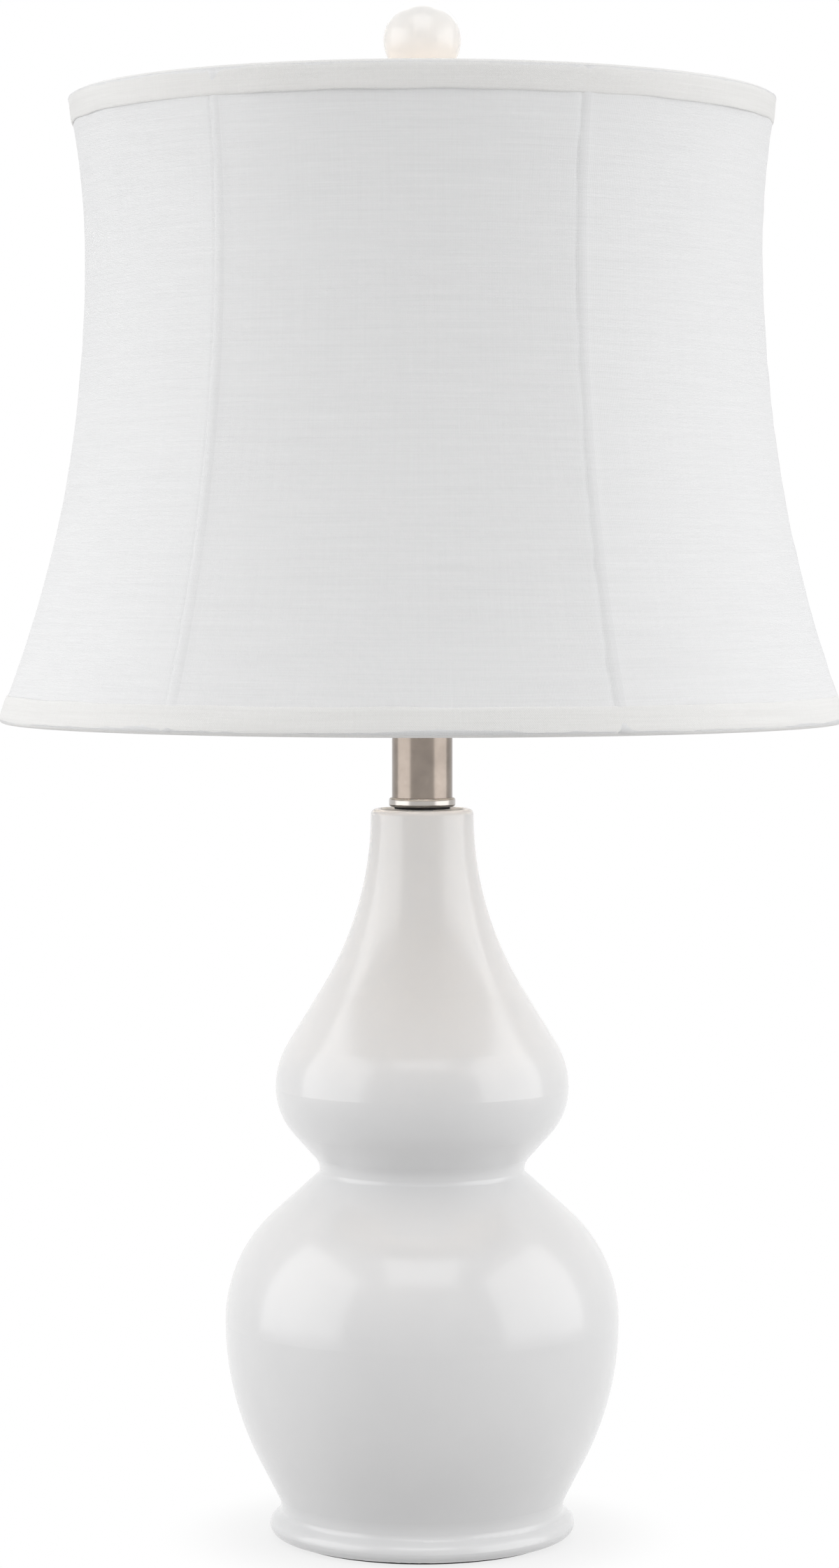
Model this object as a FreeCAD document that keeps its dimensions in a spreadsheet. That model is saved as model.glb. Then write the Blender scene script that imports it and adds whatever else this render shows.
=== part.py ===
import FreeCAD, Part
import math
import os

import Sketcher
from FreeCAD import Placement, Rotation, Vector

# Double gourd table lamp, in millimetres: +Z up, origin on the table under the lamp's axis.
# The front of the lamp faces -Y; its cord hole is at the back, +Y.

doc = FreeCAD.newDocument("gourd_lamp")

# ---------------------------------------------------------------- sizes
# Every size that can be chosen by itself. Heights are above the table and radii from the
# lamp's axis, unless the name says thick, length, width, gap or deep.
SIZES = {
    # ceramic body, in stations where the outline is upright: each is a rise above the one
    # below, with a round on either side, and a straight runs from station to station
    "felt_thick": 1.5,
    "felt_inset": 3.0,
    "wall": 6.0,
    "foot_r": 67.3,
    "foot_round": 4.2,
    "groove_r": 62.3,
    "groove_rise": 7.1,
    "groove_straight": 2.3,
    "foot_sweep": 12.0,
    "belly_r": 86.9,
    "belly_rise": 83.2,
    "belly_straight": 18.8,
    "waist_r": 45.2,
    "waist_rise": 67.0,
    "waist_straight": 26.7,
    "waist_round_low": 2.6,
    "waist_round_high": 8.3,
    "bulge_r": 64.6,
    "bulge_rise": 36.5,
    "bulge_straight": 14.4,
    "bulge_round_high": 36.8,
    "neck_r": 22.6,
    "neck_rise": 120.3,
    "neck_straight": 28.2,
    "neck_edge_round": 2.4,
    "neck_top_thick": 7.0,
    "recess_r": 52.0,
    "recess_height": 34.0,
    "floor_thick": 7.0,
    # cord hole and its bushing
    "cord_hole_height": 26.0,
    "cord_hole_tilt": 27.0,
    "cord_hole_r": 5.0,
    "cord_bore_r": 3.4,
    "bushing_flange_r": 7.4,
    "bushing_flange_thick": 1.6,
    "bushing_length": 17.0,
    "spot_deep": 0.6,
    "run_out": 1.0,
    # threaded pipe and the hardware that it clamps
    "pipe_r": 4.9,
    "pipe_bore_r": 3.4,
    "pipe_tail": 3.0,
    "slip": 0.25,
    "base_washer_r": 22.0,
    "base_washer_thick": 2.0,
    "lock_washer_r": 8.2,
    "lock_washer_thick": 1.8,
    "nut_flats": 14.3,
    "nut_thick": 4.8,
    # neck
    "gasket_r": 12.2,
    "gasket_thick": 1.0,
    "ring_r": 14.6,
    "ring_thick": 4.0,
    "ring_round": 1.2,
    "spigot_thick": 2.5,
    "tube_r": 13.3,
    "tube_wall": 1.1,
    "tube_length": 40.0,
    "tube_cap_thick": 1.6,
    "tube_cap_lip": 0.6,
    # harp saddle
    "saddle_thick": 1.8,
    "saddle_width": 12.5,
    "saddle_flat": 14.0,
    "saddle_reach": 33.0,
    "saddle_rise": 10.5,
    "prong_length": 11.5,
    "prong_width": 5.4,
    "saddle_nut_thick": 3.2,
    # harp
    "harp_wire_r": 2.2,
    "harp_height": 236.6,
    "harp_half_width": 62.0,
    "harp_wide_height": 110.0,
    "harp_leg": 30.0,
    "harp_side_round": 400.0,
    "harp_top_round": 40.0,
    "foot_wall": 1.0,
    "foot_length": 15.0,
    "sleeve_wall": 0.9,
    "sleeve_length": 15.5,
    "crown_r": 6.5,
    "crown_under": 1.2,
    "crown_over": 4.4,
    # shade stud
    "rest_gap": 0.05,
    "stud_r": 3.1,
    "stud_length": 12.0,
    "stud_pin_r": 2.0,
    "stud_pin_length": 3.2,
    "stud_seat_r": 8.0,
    "stud_seat_thick": 1.8,
    "thread_chamfer": 0.6,
    # socket
    "hub_r": 7.6,
    "hub_height": 7.0,
    "cap_dome": 9.0,
    "cap_skirt": 8.0,
    "cap_wall": 0.8,
    "shell_r": 17.0,
    "shell_wall": 0.6,
    "shell_height": 41.0,
    "shell_lap": 6.0,
    "shell_bead": 0.7,
    "bead_drop": 9.0,
    "bead_half": 1.5,
    "shell_lip": 0.5,
    "shell_lip_height": 0.6,
    "end_gap": 1.0,
    "liner_thick": 0.7,
    "block_height": 19.0,
    "screw_shell_r": 13.8,
    "screw_shell_wall": 0.4,
    "screw_shell_height": 17.5,
    "contact_width": 6.0,
    "contact_thick": 0.6,
    "contact_rise": 2.0,
    "tongue_tail": 5.0,
    "tongue_bend": 2.0,
    "tongue_slope": 1.0,
    "tongue_tip": 6.0,
    "terminal_r": 2.3,
    "terminal_length": 4.0,
    "terminal_sunk": 0.2,
    "set_screw_r": 1.5,
    # switch
    "knob_height": 13.0,
    "shaft_r": 1.9,
    "shaft_deep": 6.0,
    "knob_r": 5.6,
    "knob_length": 14.0,
    "knob_back_r": 3.9,
    "knob_swell": 4.2,
    "knob_swell_round": 8.4,
    "knob_edge": 2.8,
    "knob_edge_round": 1.8,
    "knob_face_inset": 1.5,
    "knob_bore_deep": 7.0,
    "knob_gap": 8.0,
    "flute_r": 1.0,
    "flute_proud": 0.4,
    # bulb
    "bulb_r": 30.0,
    "bulb_length": 110.0,
    "bulb_base_r": 13.0,
    "bulb_base_length": 22.0,
    "bulb_base_wall": 1.0,
    "bulb_base_taper": 2.0,
    "bulb_base_rim": 1.2,
    "bulb_base_shoulder": 4.0,
    "bulb_neck_r": 14.4,
    "bulb_neck_sweep": 60.0,
    "bulb_shoulder": 52.0,
    "bulb_glass": 1.0,
    "bulb_tip_r": 4.6,
    "bulb_tip_length": 3.4,
    "bulb_tip_deep": 2.0,
    "bulb_tip_round": 1.6,
    # shade
    "shade_height": 271.0,
    "shade_waist_r": 147.4,
    "shade_waist_height": 566.0,
    "shade_sweep_low": 582.0,
    "shade_sweep_high": 380.0,
    "gore_dip": 4.5,
    "seam_turn": -34.75,
    "cloth_thick": 0.8,
    "lining_thick": 0.5,
    "cloth_gap": 0.15,
    "wire_gap": 0.45,
    "trim_width": 11.5,
    "trim_thick": 1.0,
    "ring_wire_r": 1.6,
    "rib_wire_r": 1.2,
    "spider_wire_r": 1.7,
    "spider_hub_r": 12.0,
    "spider_hole_r": 5.5,
    "arm_lap": 2.5,
    "spider_hub_thick": 1.6,
    "weld_deep": 0.3,
    "rim_lap": 0.9,
    # finial
    "finial_ball_r": 16.9,
    "finial_stem_length": 12.6,
    "finial_collar_r": 8.4,
    "finial_collar_thick": 2.6,
    "finial_waist_r": 4.8,
    "finial_collar_sweep": 3.6,
    "finial_collar_run": 3.0,
    "finial_cup_r": 7.6,
    "finial_cup_sweep": 3.4,
    "finial_cup_rise": 0.8,
    "finial_cup_drop": 1.0,
    "finial_cup_deep": 0.4,
    "finial_shank_r": 4.4,
    "finial_shank_length": 5.0,
}
GORES = 6
SPIDER_ARMS = 3
NUT_SIDES = 6
KNOB_FLUTES = 10
TERMINALS = 2
SHADE_LEVELS = 7

sheet = doc.addObject("Spreadsheet::Sheet", "Sizes")
for row, (alias, value) in enumerate(SIZES.items(), start=1):
    sheet.set(f"A{row}", alias)
    sheet.set(f"B{row}", str(value))
    sheet.setAlias(f"B{row}", alias)

# Heights and radii that follow from those, each written as the sheet's own formula.
DERIVED = {
    "foot_centre": "felt_thick + foot_round",
    "groove_height": "foot_centre + groove_rise",
    "belly_height": "groove_height + belly_rise",
    "waist_height": "belly_height + waist_rise",
    "bulge_height": "waist_height + bulge_rise",
    "neck_station": "bulge_height + neck_rise",
    "body_height": "neck_station + neck_edge_round",
    "groove_round": "(groove_rise^2 + (foot_r - groove_r)^2 - groove_straight^2)"
                    " / (2 * (foot_r - groove_r)) - foot_round",
    "belly_round_low": "(belly_rise^2 + (belly_r - groove_r)^2 - belly_straight^2)"
                       " / (2 * (belly_r - groove_r)) - foot_sweep",
    "belly_round_high": "(waist_rise^2 + (belly_r - waist_r)^2 - waist_straight^2)"
                        " / (2 * (belly_r - waist_r)) - waist_round_low",
    "bulge_round_low": "(bulge_rise^2 + (bulge_r - waist_r)^2 - bulge_straight^2)"
                       " / (2 * (bulge_r - waist_r)) - waist_round_high",
    "neck_sweep": "(neck_rise^2 + (bulge_r - neck_r)^2 - neck_straight^2)"
                  " / (2 * (bulge_r - neck_r)) - bulge_round_high",
    "nut_top": "recess_height - base_washer_thick - lock_washer_thick",
    "pipe_bottom": "nut_top - nut_thick - pipe_tail",
    "ring_bottom": "body_height + gasket_thick",
    "tube_bottom": "ring_bottom + ring_thick",
    "tube_top": "tube_bottom + tube_length",
    "saddle_bottom": "tube_top + tube_cap_thick",
    "saddle_top": "saddle_bottom + saddle_thick",
    "hub_bottom": "saddle_top + saddle_nut_thick",
    "dome_bottom": "hub_bottom + hub_height",
    "skirt_bottom": "dome_bottom + cap_dome",
    "skirt_top": "skirt_bottom + cap_skirt",
    "shell_bottom": "skirt_top - shell_lap",
    "shell_top": "shell_bottom + shell_height",
    "shell_bore": "shell_r - shell_wall",
    "liner_r": "shell_bore - slip",
    "block_r": "liner_r - liner_thick - slip",
    "block_bottom": "shell_bottom + end_gap",
    "block_top": "block_bottom + block_height",
    "contact_top": "block_top + contact_rise + contact_thick",
    "knob_axis": "shell_bottom + knob_height",
    "bulb_bottom": "contact_top + slip",
    "bulb_base_top": "bulb_bottom + bulb_tip_length + bulb_base_length",
    "bulb_centre": "bulb_bottom + bulb_length - bulb_r",
    "shoulder_top": "saddle_top + saddle_rise",
    "foot_bottom": "shoulder_top + slip",
    "foot_top": "foot_bottom + foot_length",
    "prong_top": "shoulder_top + prong_length",
    "foot_half_x": "saddle_thick / 2 + slip + foot_wall",
    "foot_half_y": "prong_width / 2 + slip + foot_wall",
    "sleeve_bore": "sqrt(foot_half_x^2 + foot_half_y^2) + slip",
    "sleeve_r": "sleeve_bore + sleeve_wall",
    "crown_wire": "foot_bottom + harp_height",
    "crown_bottom": "crown_wire - harp_wire_r - crown_under",
    "crown_top": "crown_wire + harp_wire_r + crown_over",
    "leg_top": "foot_top + harp_leg",
    "wide_height": "foot_bottom + harp_wide_height",
    "seat_bottom": "crown_top + rest_gap",
    "seat_top": "seat_bottom + stud_seat_thick",
    "stud_top": "seat_top + stud_length",
    "spider_bottom": "seat_top + rest_gap",
    "spider_top": "spider_bottom + spider_hub_thick",
    "finial_bottom": "spider_top + rest_gap",
    "ball_bottom": "finial_bottom + finial_stem_length",
    "ball_centre": "ball_bottom + finial_ball_r",
    "ring_inset": "cloth_thick + wire_gap + ring_wire_r",
    "top_ring_height": "spider_top + spider_wire_r - weld_deep",
    "shade_top": "top_ring_height + ring_wire_r + rim_lap",
    "shade_bottom": "shade_top - shade_height",
    "bottom_ring_height": "shade_bottom + ring_wire_r + rim_lap",
    "top_ring_r": "shade_waist_r + shade_sweep_high - ring_inset"
                  " - sqrt(shade_sweep_high^2 - (top_ring_height - shade_waist_height)^2)",
    "bottom_ring_r": "shade_waist_r + shade_sweep_low - ring_inset"
                     " - sqrt(shade_sweep_low^2 - (bottom_ring_height - shade_waist_height)^2)",
    "harp_ogee": "((harp_half_width - saddle_reach)^2 + (wide_height - leg_top)^2)"
                 " / (4 * (harp_half_width - saddle_reach))",
    "harp_over": "crown_wire - harp_top_round - wide_height",
    "harp_run": "sqrt((harp_side_round - harp_top_round)^2 - harp_over^2)",
    "harp_crown_half": "harp_half_width - harp_side_round + harp_run",
    "harp_knee_x": "harp_crown_half + harp_top_round * harp_run / (harp_side_round - harp_top_round)",
    "harp_knee_height": "crown_wire - harp_top_round"
                        " + harp_top_round * harp_over / (harp_side_round - harp_top_round)",
    "lining_inset": "cloth_thick + wire_gap + 2 * ring_wire_r + cloth_gap",
}
doc.recompute()


def formula(text):
    """A formula in plain words, with each word that names a size pointed at the sheet."""
    for mark in "()+-*/^":
        text = text.replace(mark, f" {mark} ")
    return "".join(f"Sizes.{word}" if word in names else word for word in text.split())


names = set(SIZES)
for row, (alias, rule) in enumerate(DERIVED.items(), start=len(SIZES) + 1):
    sheet.set(f"A{row}", alias)
    sheet.set(f"B{row}", "=" + "".join(rule.split()))
    sheet.setAlias(f"B{row}", alias)
    names.add(alias)
doc.recompute()


def worth(text):
    """What a formula comes to now, as a plain number."""
    got = sheet.evalExpression(formula(str(text)))
    return float(getattr(got, "Value", got))


def numbers(arc):
    """A round's formulas worked out: across, up, radius, with its side."""
    across, up, radius, side = arc
    return worth(across), worth(up), worth(radius), side


def bind(thing, rules):
    """Ties properties of an object to formulas."""
    for prop, rule in rules.items():
        thing.setExpression(prop, formula(str(rule)))


# ---------------------------------------------------------------- sketches
UPRIGHT = "XZ_Plane"
LEVEL = "XY_Plane"


def start_body(label):
    """An empty body with its name."""
    body = doc.addObject("PartDesign::Body", label)
    body.Label = label
    return body


def origin_plane(body, role):
    """The body's own plane of that role."""
    return next(item for item in body.Origin.OriginFeatures if item.Role == role)


def start_sketch(body, name, role):
    """An empty sketch on one of the body's planes."""
    sketch = body.newObject("Sketcher::SketchObject", name)
    sketch.AttachmentSupport = [(origin_plane(body, role), "")]
    sketch.MapMode = "FlatFace"
    return sketch


def pin(sketch, geo, point, across=None, up=None):
    """Holds a point of the sketch at formulas for its distance across and up."""
    kinds = (("DistanceX", across, -2), ("DistanceY", up, -1))
    for kind, rule, axis in kinds:
        if rule is None:
            continue
        if rule == 0:
            sketch.addConstraint(Sketcher.Constraint("PointOnObject", geo, point, axis))
            continue
        number = sketch.addConstraint(Sketcher.Constraint(kind, -1, 1, geo, point, worth(rule)))
        sketch.setExpression(f"Constraints[{number}]", formula(str(rule)))


def size_radius(sketch, geo, rule):
    """Holds an arc's or circle's radius at a formula."""
    number = sketch.addConstraint(Sketcher.Constraint("Radius", geo, worth(rule)))
    sketch.setExpression(f"Constraints[{number}]", formula(str(rule)))


def bowed(start, end, radius, side):
    """The arc of less than half a turn between two points, to the left (1) or right (-1)."""
    chord = end - start
    middle = (start + end) * 0.5
    left = Vector(-chord.y, chord.x, 0).normalize()
    half = chord.Length / 2
    centre = middle - left * side * math.sqrt(max(radius**2 - half**2, 0))
    first, last = (end, start) if side > 0 else (start, end)
    turn = [math.atan2(point.y - centre.y, point.x - centre.x) for point in (first, last)]
    circle = Part.Circle(centre, Vector(0, 0, 1), radius)
    return Part.ArcOfCircle(circle, turn[0], turn[1])


def draw_loop(sketch, corners):
    """A closed outline through pinned corners.

    A corner is (across, up) or (across, up, radius, side): the stretch that ends there is
    then an arc that bulges to the left (1) or right (-1) of the way it runs.
    """
    points = [Vector(worth(c[0]), worth(c[1]), 0) for c in corners]
    pieces = []
    for index, corner in enumerate(corners):
        start, end = points[index - 1], points[index]
        if len(corner) == 2:
            pieces.append(Part.LineSegment(start, end))
        else:
            pieces.append(bowed(start, end, worth(corner[2]), corner[3]))
    first = sketch.addGeometry(pieces, False)[0]
    ends = []
    for index, corner in enumerate(corners):
        geo = first + index
        backward = len(corner) > 2 and corner[3] > 0
        ends.append((geo, 2, 1) if backward else (geo, 1, 2))
    for index, corner in enumerate(corners):
        geo, _, end = ends[index]
        after, begin, _ = ends[(index + 1) % len(corners)]
        sketch.addConstraint(Sketcher.Constraint("Coincident", geo, end, after, begin))
        pin(sketch, geo, end, corner[0], corner[1])
        if len(corner) > 2:
            size_radius(sketch, geo, corner[2])
    return sketch


def revolve(body, sketch, kind="Revolution", name="Turned"):
    """Turns a sketch right round the body's upright axis, as a solid or as a cut."""
    turned = body.newObject(f"PartDesign::{kind}", name)
    turned.Profile = sketch
    turned.ReferenceAxis = (sketch, ["V_Axis"])
    turned.Angle = 360
    sketch.Visibility = False
    return turned


def turned_body(label, corners):
    """A body made by turning one closed outline."""
    body = start_body(label)
    sketch = start_sketch(body, f"{label}_outline", UPRIGHT)
    draw_loop(sketch, corners)
    revolve(body, sketch)
    return body


def tube_corners(inner, outer, bottom, top):
    """The four corners of a plain ring's section."""
    return [(inner, bottom), (outer, bottom), (outer, top), (inner, top)]


# ---------------------------------------------------------------- primitives
def cylinder(label, radius, length, at=(0, 0, 0), turn=None):
    """A cylinder on formulas; turn is a Rotation from upright."""
    rod = doc.addObject("Part::Cylinder", label)
    bind(rod, {"Radius": radius, "Height": length})
    seat(rod, at, turn)
    return rod


def block(label, length, width, height, at):
    """A box on formulas, with its lowest corner at a place."""
    box = doc.addObject("Part::Box", label)
    bind(box, {"Length": length, "Width": width, "Height": height})
    seat(box, at)
    return box


def seat(thing, at, turn=None):
    """Places an object by formulas for x, y and z."""
    if turn is not None:
        thing.Placement = Placement(Vector(0, 0, 0), turn)
    for axis, rule in zip("xyz", at):
        if rule != 0:
            bind(thing, {f".Placement.Base.{axis}": rule})


def cut(label, base, tool):
    """What is left of the base."""
    result = doc.addObject("Part::Cut", label)
    result.Base = base
    result.Tool = tool
    return result


def fuse(label, shapes):
    """Several shapes as one."""
    result = doc.addObject("Part::MultiFuse", label)
    result.Shapes = shapes
    return result


def group(label, shapes):
    """Several solids in one node, each by itself."""
    result = doc.addObject("Part::Compound", label)
    result.Links = shapes
    return result


NODES = {}


def keep(node, thing):
    """Names a finished sub-part."""
    thing.Label = node
    NODES[node] = thing
    return thing


# ---------------------------------------------------------------- ceramic body
# Stations of the gourd from the foot up: radius, height, round below and above, and whether
# the outline swells (1) or is drawn in (-1) below and above the station.
STATIONS = [
    ("foot_r", "foot_centre", "foot_round", "foot_round", 1, 1),
    ("groove_r", "groove_height", "groove_round", "foot_sweep", -1, -1),
    ("belly_r", "belly_height", "belly_round_low", "belly_round_high", 1, 1),
    ("waist_r", "waist_height", "waist_round_low", "waist_round_high", -1, -1),
    ("bulge_r", "bulge_height", "bulge_round_low", "bulge_round_high", 1, 1),
    ("neck_r", "neck_station", "neck_sweep", "neck_edge_round", -1, 1),
]


def gourd_arcs(stations, inset):
    """The rounds of the outline from the foot up: centre, radius and side, as formulas."""
    arcs = []
    for radius, height, low, high, side_low, side_high in stations:
        for size, side in ((low, side_low), (high, side_high)):
            own = f"({size} - {side} * {inset})"
            arcs.append((f"{radius} - {inset} - {side} * {own}", height, own, side))
    return arcs


def tangent_points(one, two):
    """Where the straight that leaves one round and meets the next touches them."""
    (x1, z1, r1, t1), (x2, z2, r2, t2) = one, two
    run, rise = x2 - x1, z2 - z1
    reach = math.hypot(run, rise)
    lean = max(-1.0, min(1.0, (t2 * r2 - t1 * r1) / reach))
    heading = math.atan2(rise, run) - math.asin(lean)
    left = Vector(-math.sin(heading), math.cos(heading), 0)
    return Vector(x1, z1, 0) - left * (t1 * r1), Vector(x2, z2, 0) - left * (t2 * r2)


def draw_gourd(sketch, arcs, foot, head):
    """The closed half outline: rounds joined by straights that run smoothly into them.

    foot and head are the first and last points as (across or None, up or None) formulas;
    what is None follows from the round that ends there.
    """
    number = [numbers(arc) for arc in arcs]
    starts, ends = {}, {}
    for index in range(len(arcs)):
        x, z, r, side = number[index]
        if index % 2 == 0:
            ends[index] = starts[index + 1] = Vector(x + side * r, z, 0)
        elif index + 1 < len(arcs):
            ends[index], starts[index + 1] = tangent_points(number[index], number[index + 1])
    starts[0] = on_round(number[0], foot)
    ends[len(arcs) - 1] = on_round(number[-1], head)
    geos = []
    for index, (x, z, r, side) in enumerate(number):
        if index and index % 2 == 0:
            line = Part.LineSegment(ends[index - 1], starts[index])
            geos.append((sketch.addGeometry(line, False), 1, 2, "line", index))
        pair = (starts[index], ends[index]) if side > 0 else (ends[index], starts[index])
        turn = [math.atan2(p.y - z, p.x - x) for p in pair]
        circle = Part.Circle(Vector(x, z, 0), Vector(0, 0, 1), r)
        arc = Part.ArcOfCircle(circle, turn[0], turn[1])
        first, last = (1, 2) if side > 0 else (2, 1)
        geos.append((sketch.addGeometry(arc, False), first, last, "arc", index))
    for (one, _, end, kind, _), (two, begin, _, other, _) in zip(geos, geos[1:]):
        joint = "Coincident" if kind == other else "Tangent"
        sketch.addConstraint(Sketcher.Constraint(joint, one, end, two, begin))
    for geo, begin, end, kind, index in geos:
        if kind == "line":
            continue
        across, up, radius, _ = arcs[index]
        size_radius(sketch, geo, radius)
        if index % 2 == 0:
            pin(sketch, geo, 3, across, up)
            if index + 1 < len(arcs):
                pin(sketch, geo, end, None, up)
        else:
            pin(sketch, geo, 3, None, up)
    pin(sketch, geos[0][0], geos[0][1], *foot)
    pin(sketch, geos[-1][0], geos[-1][2], *head)
    close_on_axis(sketch, geos, starts[0], ends[len(arcs) - 1])


def on_round(arc, point):
    """The point of a round at a given distance across or up."""
    x, z, r, side = arc
    if point[0] is not None:
        across = worth(point[0])
        sign = 1 if side * (1 if point[1] == "over" else -1) > 0 else -1
        return Vector(across, z + sign * math.sqrt(max(r**2 - (across - x) ** 2, 0)), 0)
    up = worth(point[1])
    return Vector(x + side * math.sqrt(r**2 - (up - z) ** 2), up, 0)


def close_on_axis(sketch, geos, foot, head):
    """Closes the outline along the lamp's axis."""
    over = sketch.addGeometry(Part.LineSegment(head, Vector(0, head.y, 0)), False)
    down = sketch.addGeometry(Part.LineSegment(Vector(0, head.y, 0), Vector(0, foot.y, 0)), False)
    under = sketch.addGeometry(Part.LineSegment(Vector(0, foot.y, 0), foot), False)
    chain = [(geos[-1][0], geos[-1][2]), (over, 1), (over, 2), (down, 1), (down, 2), (under, 1)]
    chain += [(under, 2), (geos[0][0], geos[0][1])]
    for (one, end), (two, begin) in zip(chain[0::2], chain[1::2]):
        sketch.addConstraint(Sketcher.Constraint("Coincident", one, end, two, begin))
    for line in (over, under):
        sketch.addConstraint(Sketcher.Constraint("Horizontal", line))
    sketch.addConstraint(Sketcher.Constraint("PointOnObject", down, 1, -2))
    sketch.addConstraint(Sketcher.Constraint("PointOnObject", down, 2, -2))


def make_ceramic_body():
    """The cast gourd: hollow, with a floor, a recess under it and a bored neck."""
    body = start_body("gourd")
    outline = start_sketch(body, "gourd_outline", UPRIGHT)
    outer = gourd_arcs(STATIONS, "0")
    draw_gourd(outline, outer, ("foot_r - foot_round", None), ("neck_r - neck_edge_round", None))
    revolve(body, outline)
    hollow = start_sketch(body, "gourd_hollow", UPRIGHT)
    inner = gourd_arcs(STATIONS[2:], "wall")[:-1]
    floor_top = "recess_height + floor_thick"
    draw_gourd(hollow, inner, (None, floor_top), (None, "body_height - neck_top_thick"))
    revolve(body, hollow, "Groove", "Hollow")
    under = start_sketch(body, "gourd_underside", UPRIGHT)
    bore = "pipe_r + slip"
    draw_loop(under, [
        (0, 0),
        ("recess_r", 0),
        ("recess_r", "recess_height - foot_round"),
        ("recess_r - foot_round", "recess_height", "foot_round", -1),
        (bore, "recess_height"),
        (bore, "body_height + run_out"),
        (0, "body_height + run_out"),
    ])
    revolve(body, under, "Groove", "Underside")
    doc.recompute()
    hole = cylinder("cord_hole", "cord_hole_r", "recess_r")
    aim(hole, "spot_deep + recess_r / 2")
    spot = cylinder("cord_spot", "bushing_flange_r + slip", "recess_r")
    aim(spot, "spot_deep")
    drilled = cut("gourd_drilled", body, fuse("cord_tools", [hole, spot]))
    return keep("ceramic_body", drilled)


def wall_point():
    """Where the cord hole's axis leaves the gourd, and the axis's way out and down."""
    tilt = math.radians(worth("cord_hole_tilt"))
    way = Vector(0, math.cos(tilt), -math.sin(tilt))
    outer = gourd_arcs(STATIONS, "0")
    sweep, belly = outer[3], outer[4]
    lower, upper = tangent_points(numbers(sweep), numbers(belly))
    height = worth("cord_hole_height")
    share = (height - lower.y) / (upper.y - lower.y)
    return Vector(0, lower.x + share * (upper.x - lower.x), height), way


def aim(thing, back):
    """Lays a thing along the cord hole's axis, starting that far inside the gourd's face."""
    point, way = wall_point()
    thing.Placement = Placement(point - way * worth(back), Rotation(Vector(0, 0, 1), way))


def make_cord_bushing():
    """The bushing in the cord hole, its flange let into the wall."""
    body = turned_body("cord_bushing", [
        ("cord_bore_r", "0 - bushing_length"),
        ("cord_hole_r - slip / 2", "0 - bushing_length"),
        ("cord_hole_r - slip / 2", 0),
        ("bushing_flange_r", 0),
        ("bushing_flange_r - bushing_flange_thick", "bushing_flange_thick", "bushing_flange_thick", -1),
        ("cord_bore_r", "bushing_flange_thick"),
    ])
    aim(body, "spot_deep")
    return keep("cord_bushing", body)


def make_felt_pad():
    """The disc glued under the foot."""
    return keep("felt_pad", cylinder("felt", "foot_r - foot_round - felt_inset", "felt_thick"))


# ---------------------------------------------------------------- pipe and clamping hardware
def make_pipe():
    """The pipe that runs from the recess to the socket cap and carries the wires."""
    corners = tube_corners("pipe_bore_r", "pipe_r", "pipe_bottom", "dome_bottom - end_gap")
    return keep("lamp_pipe", turned_body("pipe", corners))


def make_base_hardware():
    """The plate, lock washer and nut that pull the pipe down in the recess."""
    bore = "pipe_r + slip / 2"
    plate = ["recess_height - base_washer_thick", "recess_height"]
    keep("base_washer", turned_body("base_washer", tube_corners(bore, "base_washer_r", *plate)))
    lock = tube_corners(bore, "lock_washer_r", "nut_top", plate[0])
    keep("lock_washer", turned_body("lock_washer", lock))
    keep("base_nut", hex_nut("base_nut", "nut_top - nut_thick", "nut_thick"))


def hex_nut(label, bottom, thick):
    """A nut by its width over flats, bored for the pipe."""
    body = start_body(label)
    sketch = start_sketch(body, f"{label}_plan", LEVEL)
    corner = worth("nut_flats / sqrt(3)")
    steps = [2 * math.pi * side / NUT_SIDES for side in range(NUT_SIDES)]
    points = [Vector(corner * math.cos(step), corner * math.sin(step), 0) for step in steps]
    sides = [Part.LineSegment(points[side - 1], points[side]) for side in range(NUT_SIDES)]
    first = sketch.addGeometry(sides, False)[0]
    ring = sketch.addGeometry(Part.Circle(Vector(0, 0, 0), Vector(0, 0, 1), corner), True)
    sketch.addConstraint(Sketcher.Constraint("Coincident", ring, 3, -1, 1))
    for side in range(NUT_SIDES):
        after = first + (side + 1) % NUT_SIDES
        sketch.addConstraint(Sketcher.Constraint("Coincident", first + side, 2, after, 1))
        sketch.addConstraint(Sketcher.Constraint("PointOnObject", first + side, 2, ring))
        if side:
            sketch.addConstraint(Sketcher.Constraint("Equal", first, first + side))
    size_radius(sketch, ring, "nut_flats / sqrt(3)")
    sketch.addConstraint(Sketcher.Constraint("PointOnObject", first, 2, -1))
    pad = body.newObject("PartDesign::Pad", "Pad")
    pad.Profile = sketch
    bind(pad, {"Length": thick})
    bore = start_sketch(body, f"{label}_bore", LEVEL)
    hole = bore.addGeometry(Part.Circle(Vector(0, 0, 0), Vector(0, 0, 1), worth("pipe_r")), False)
    bore.addConstraint(Sketcher.Constraint("Coincident", hole, 3, -1, 1))
    size_radius(bore, hole, "pipe_r + slip / 2")
    pocket = body.newObject("PartDesign::Pocket", "Bore")
    pocket.Profile = bore
    pocket.Type = "ThroughAll"
    pocket.Midplane = True
    doc.recompute()
    bind(body, {".Placement.Base.z": bottom})
    return body


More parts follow.
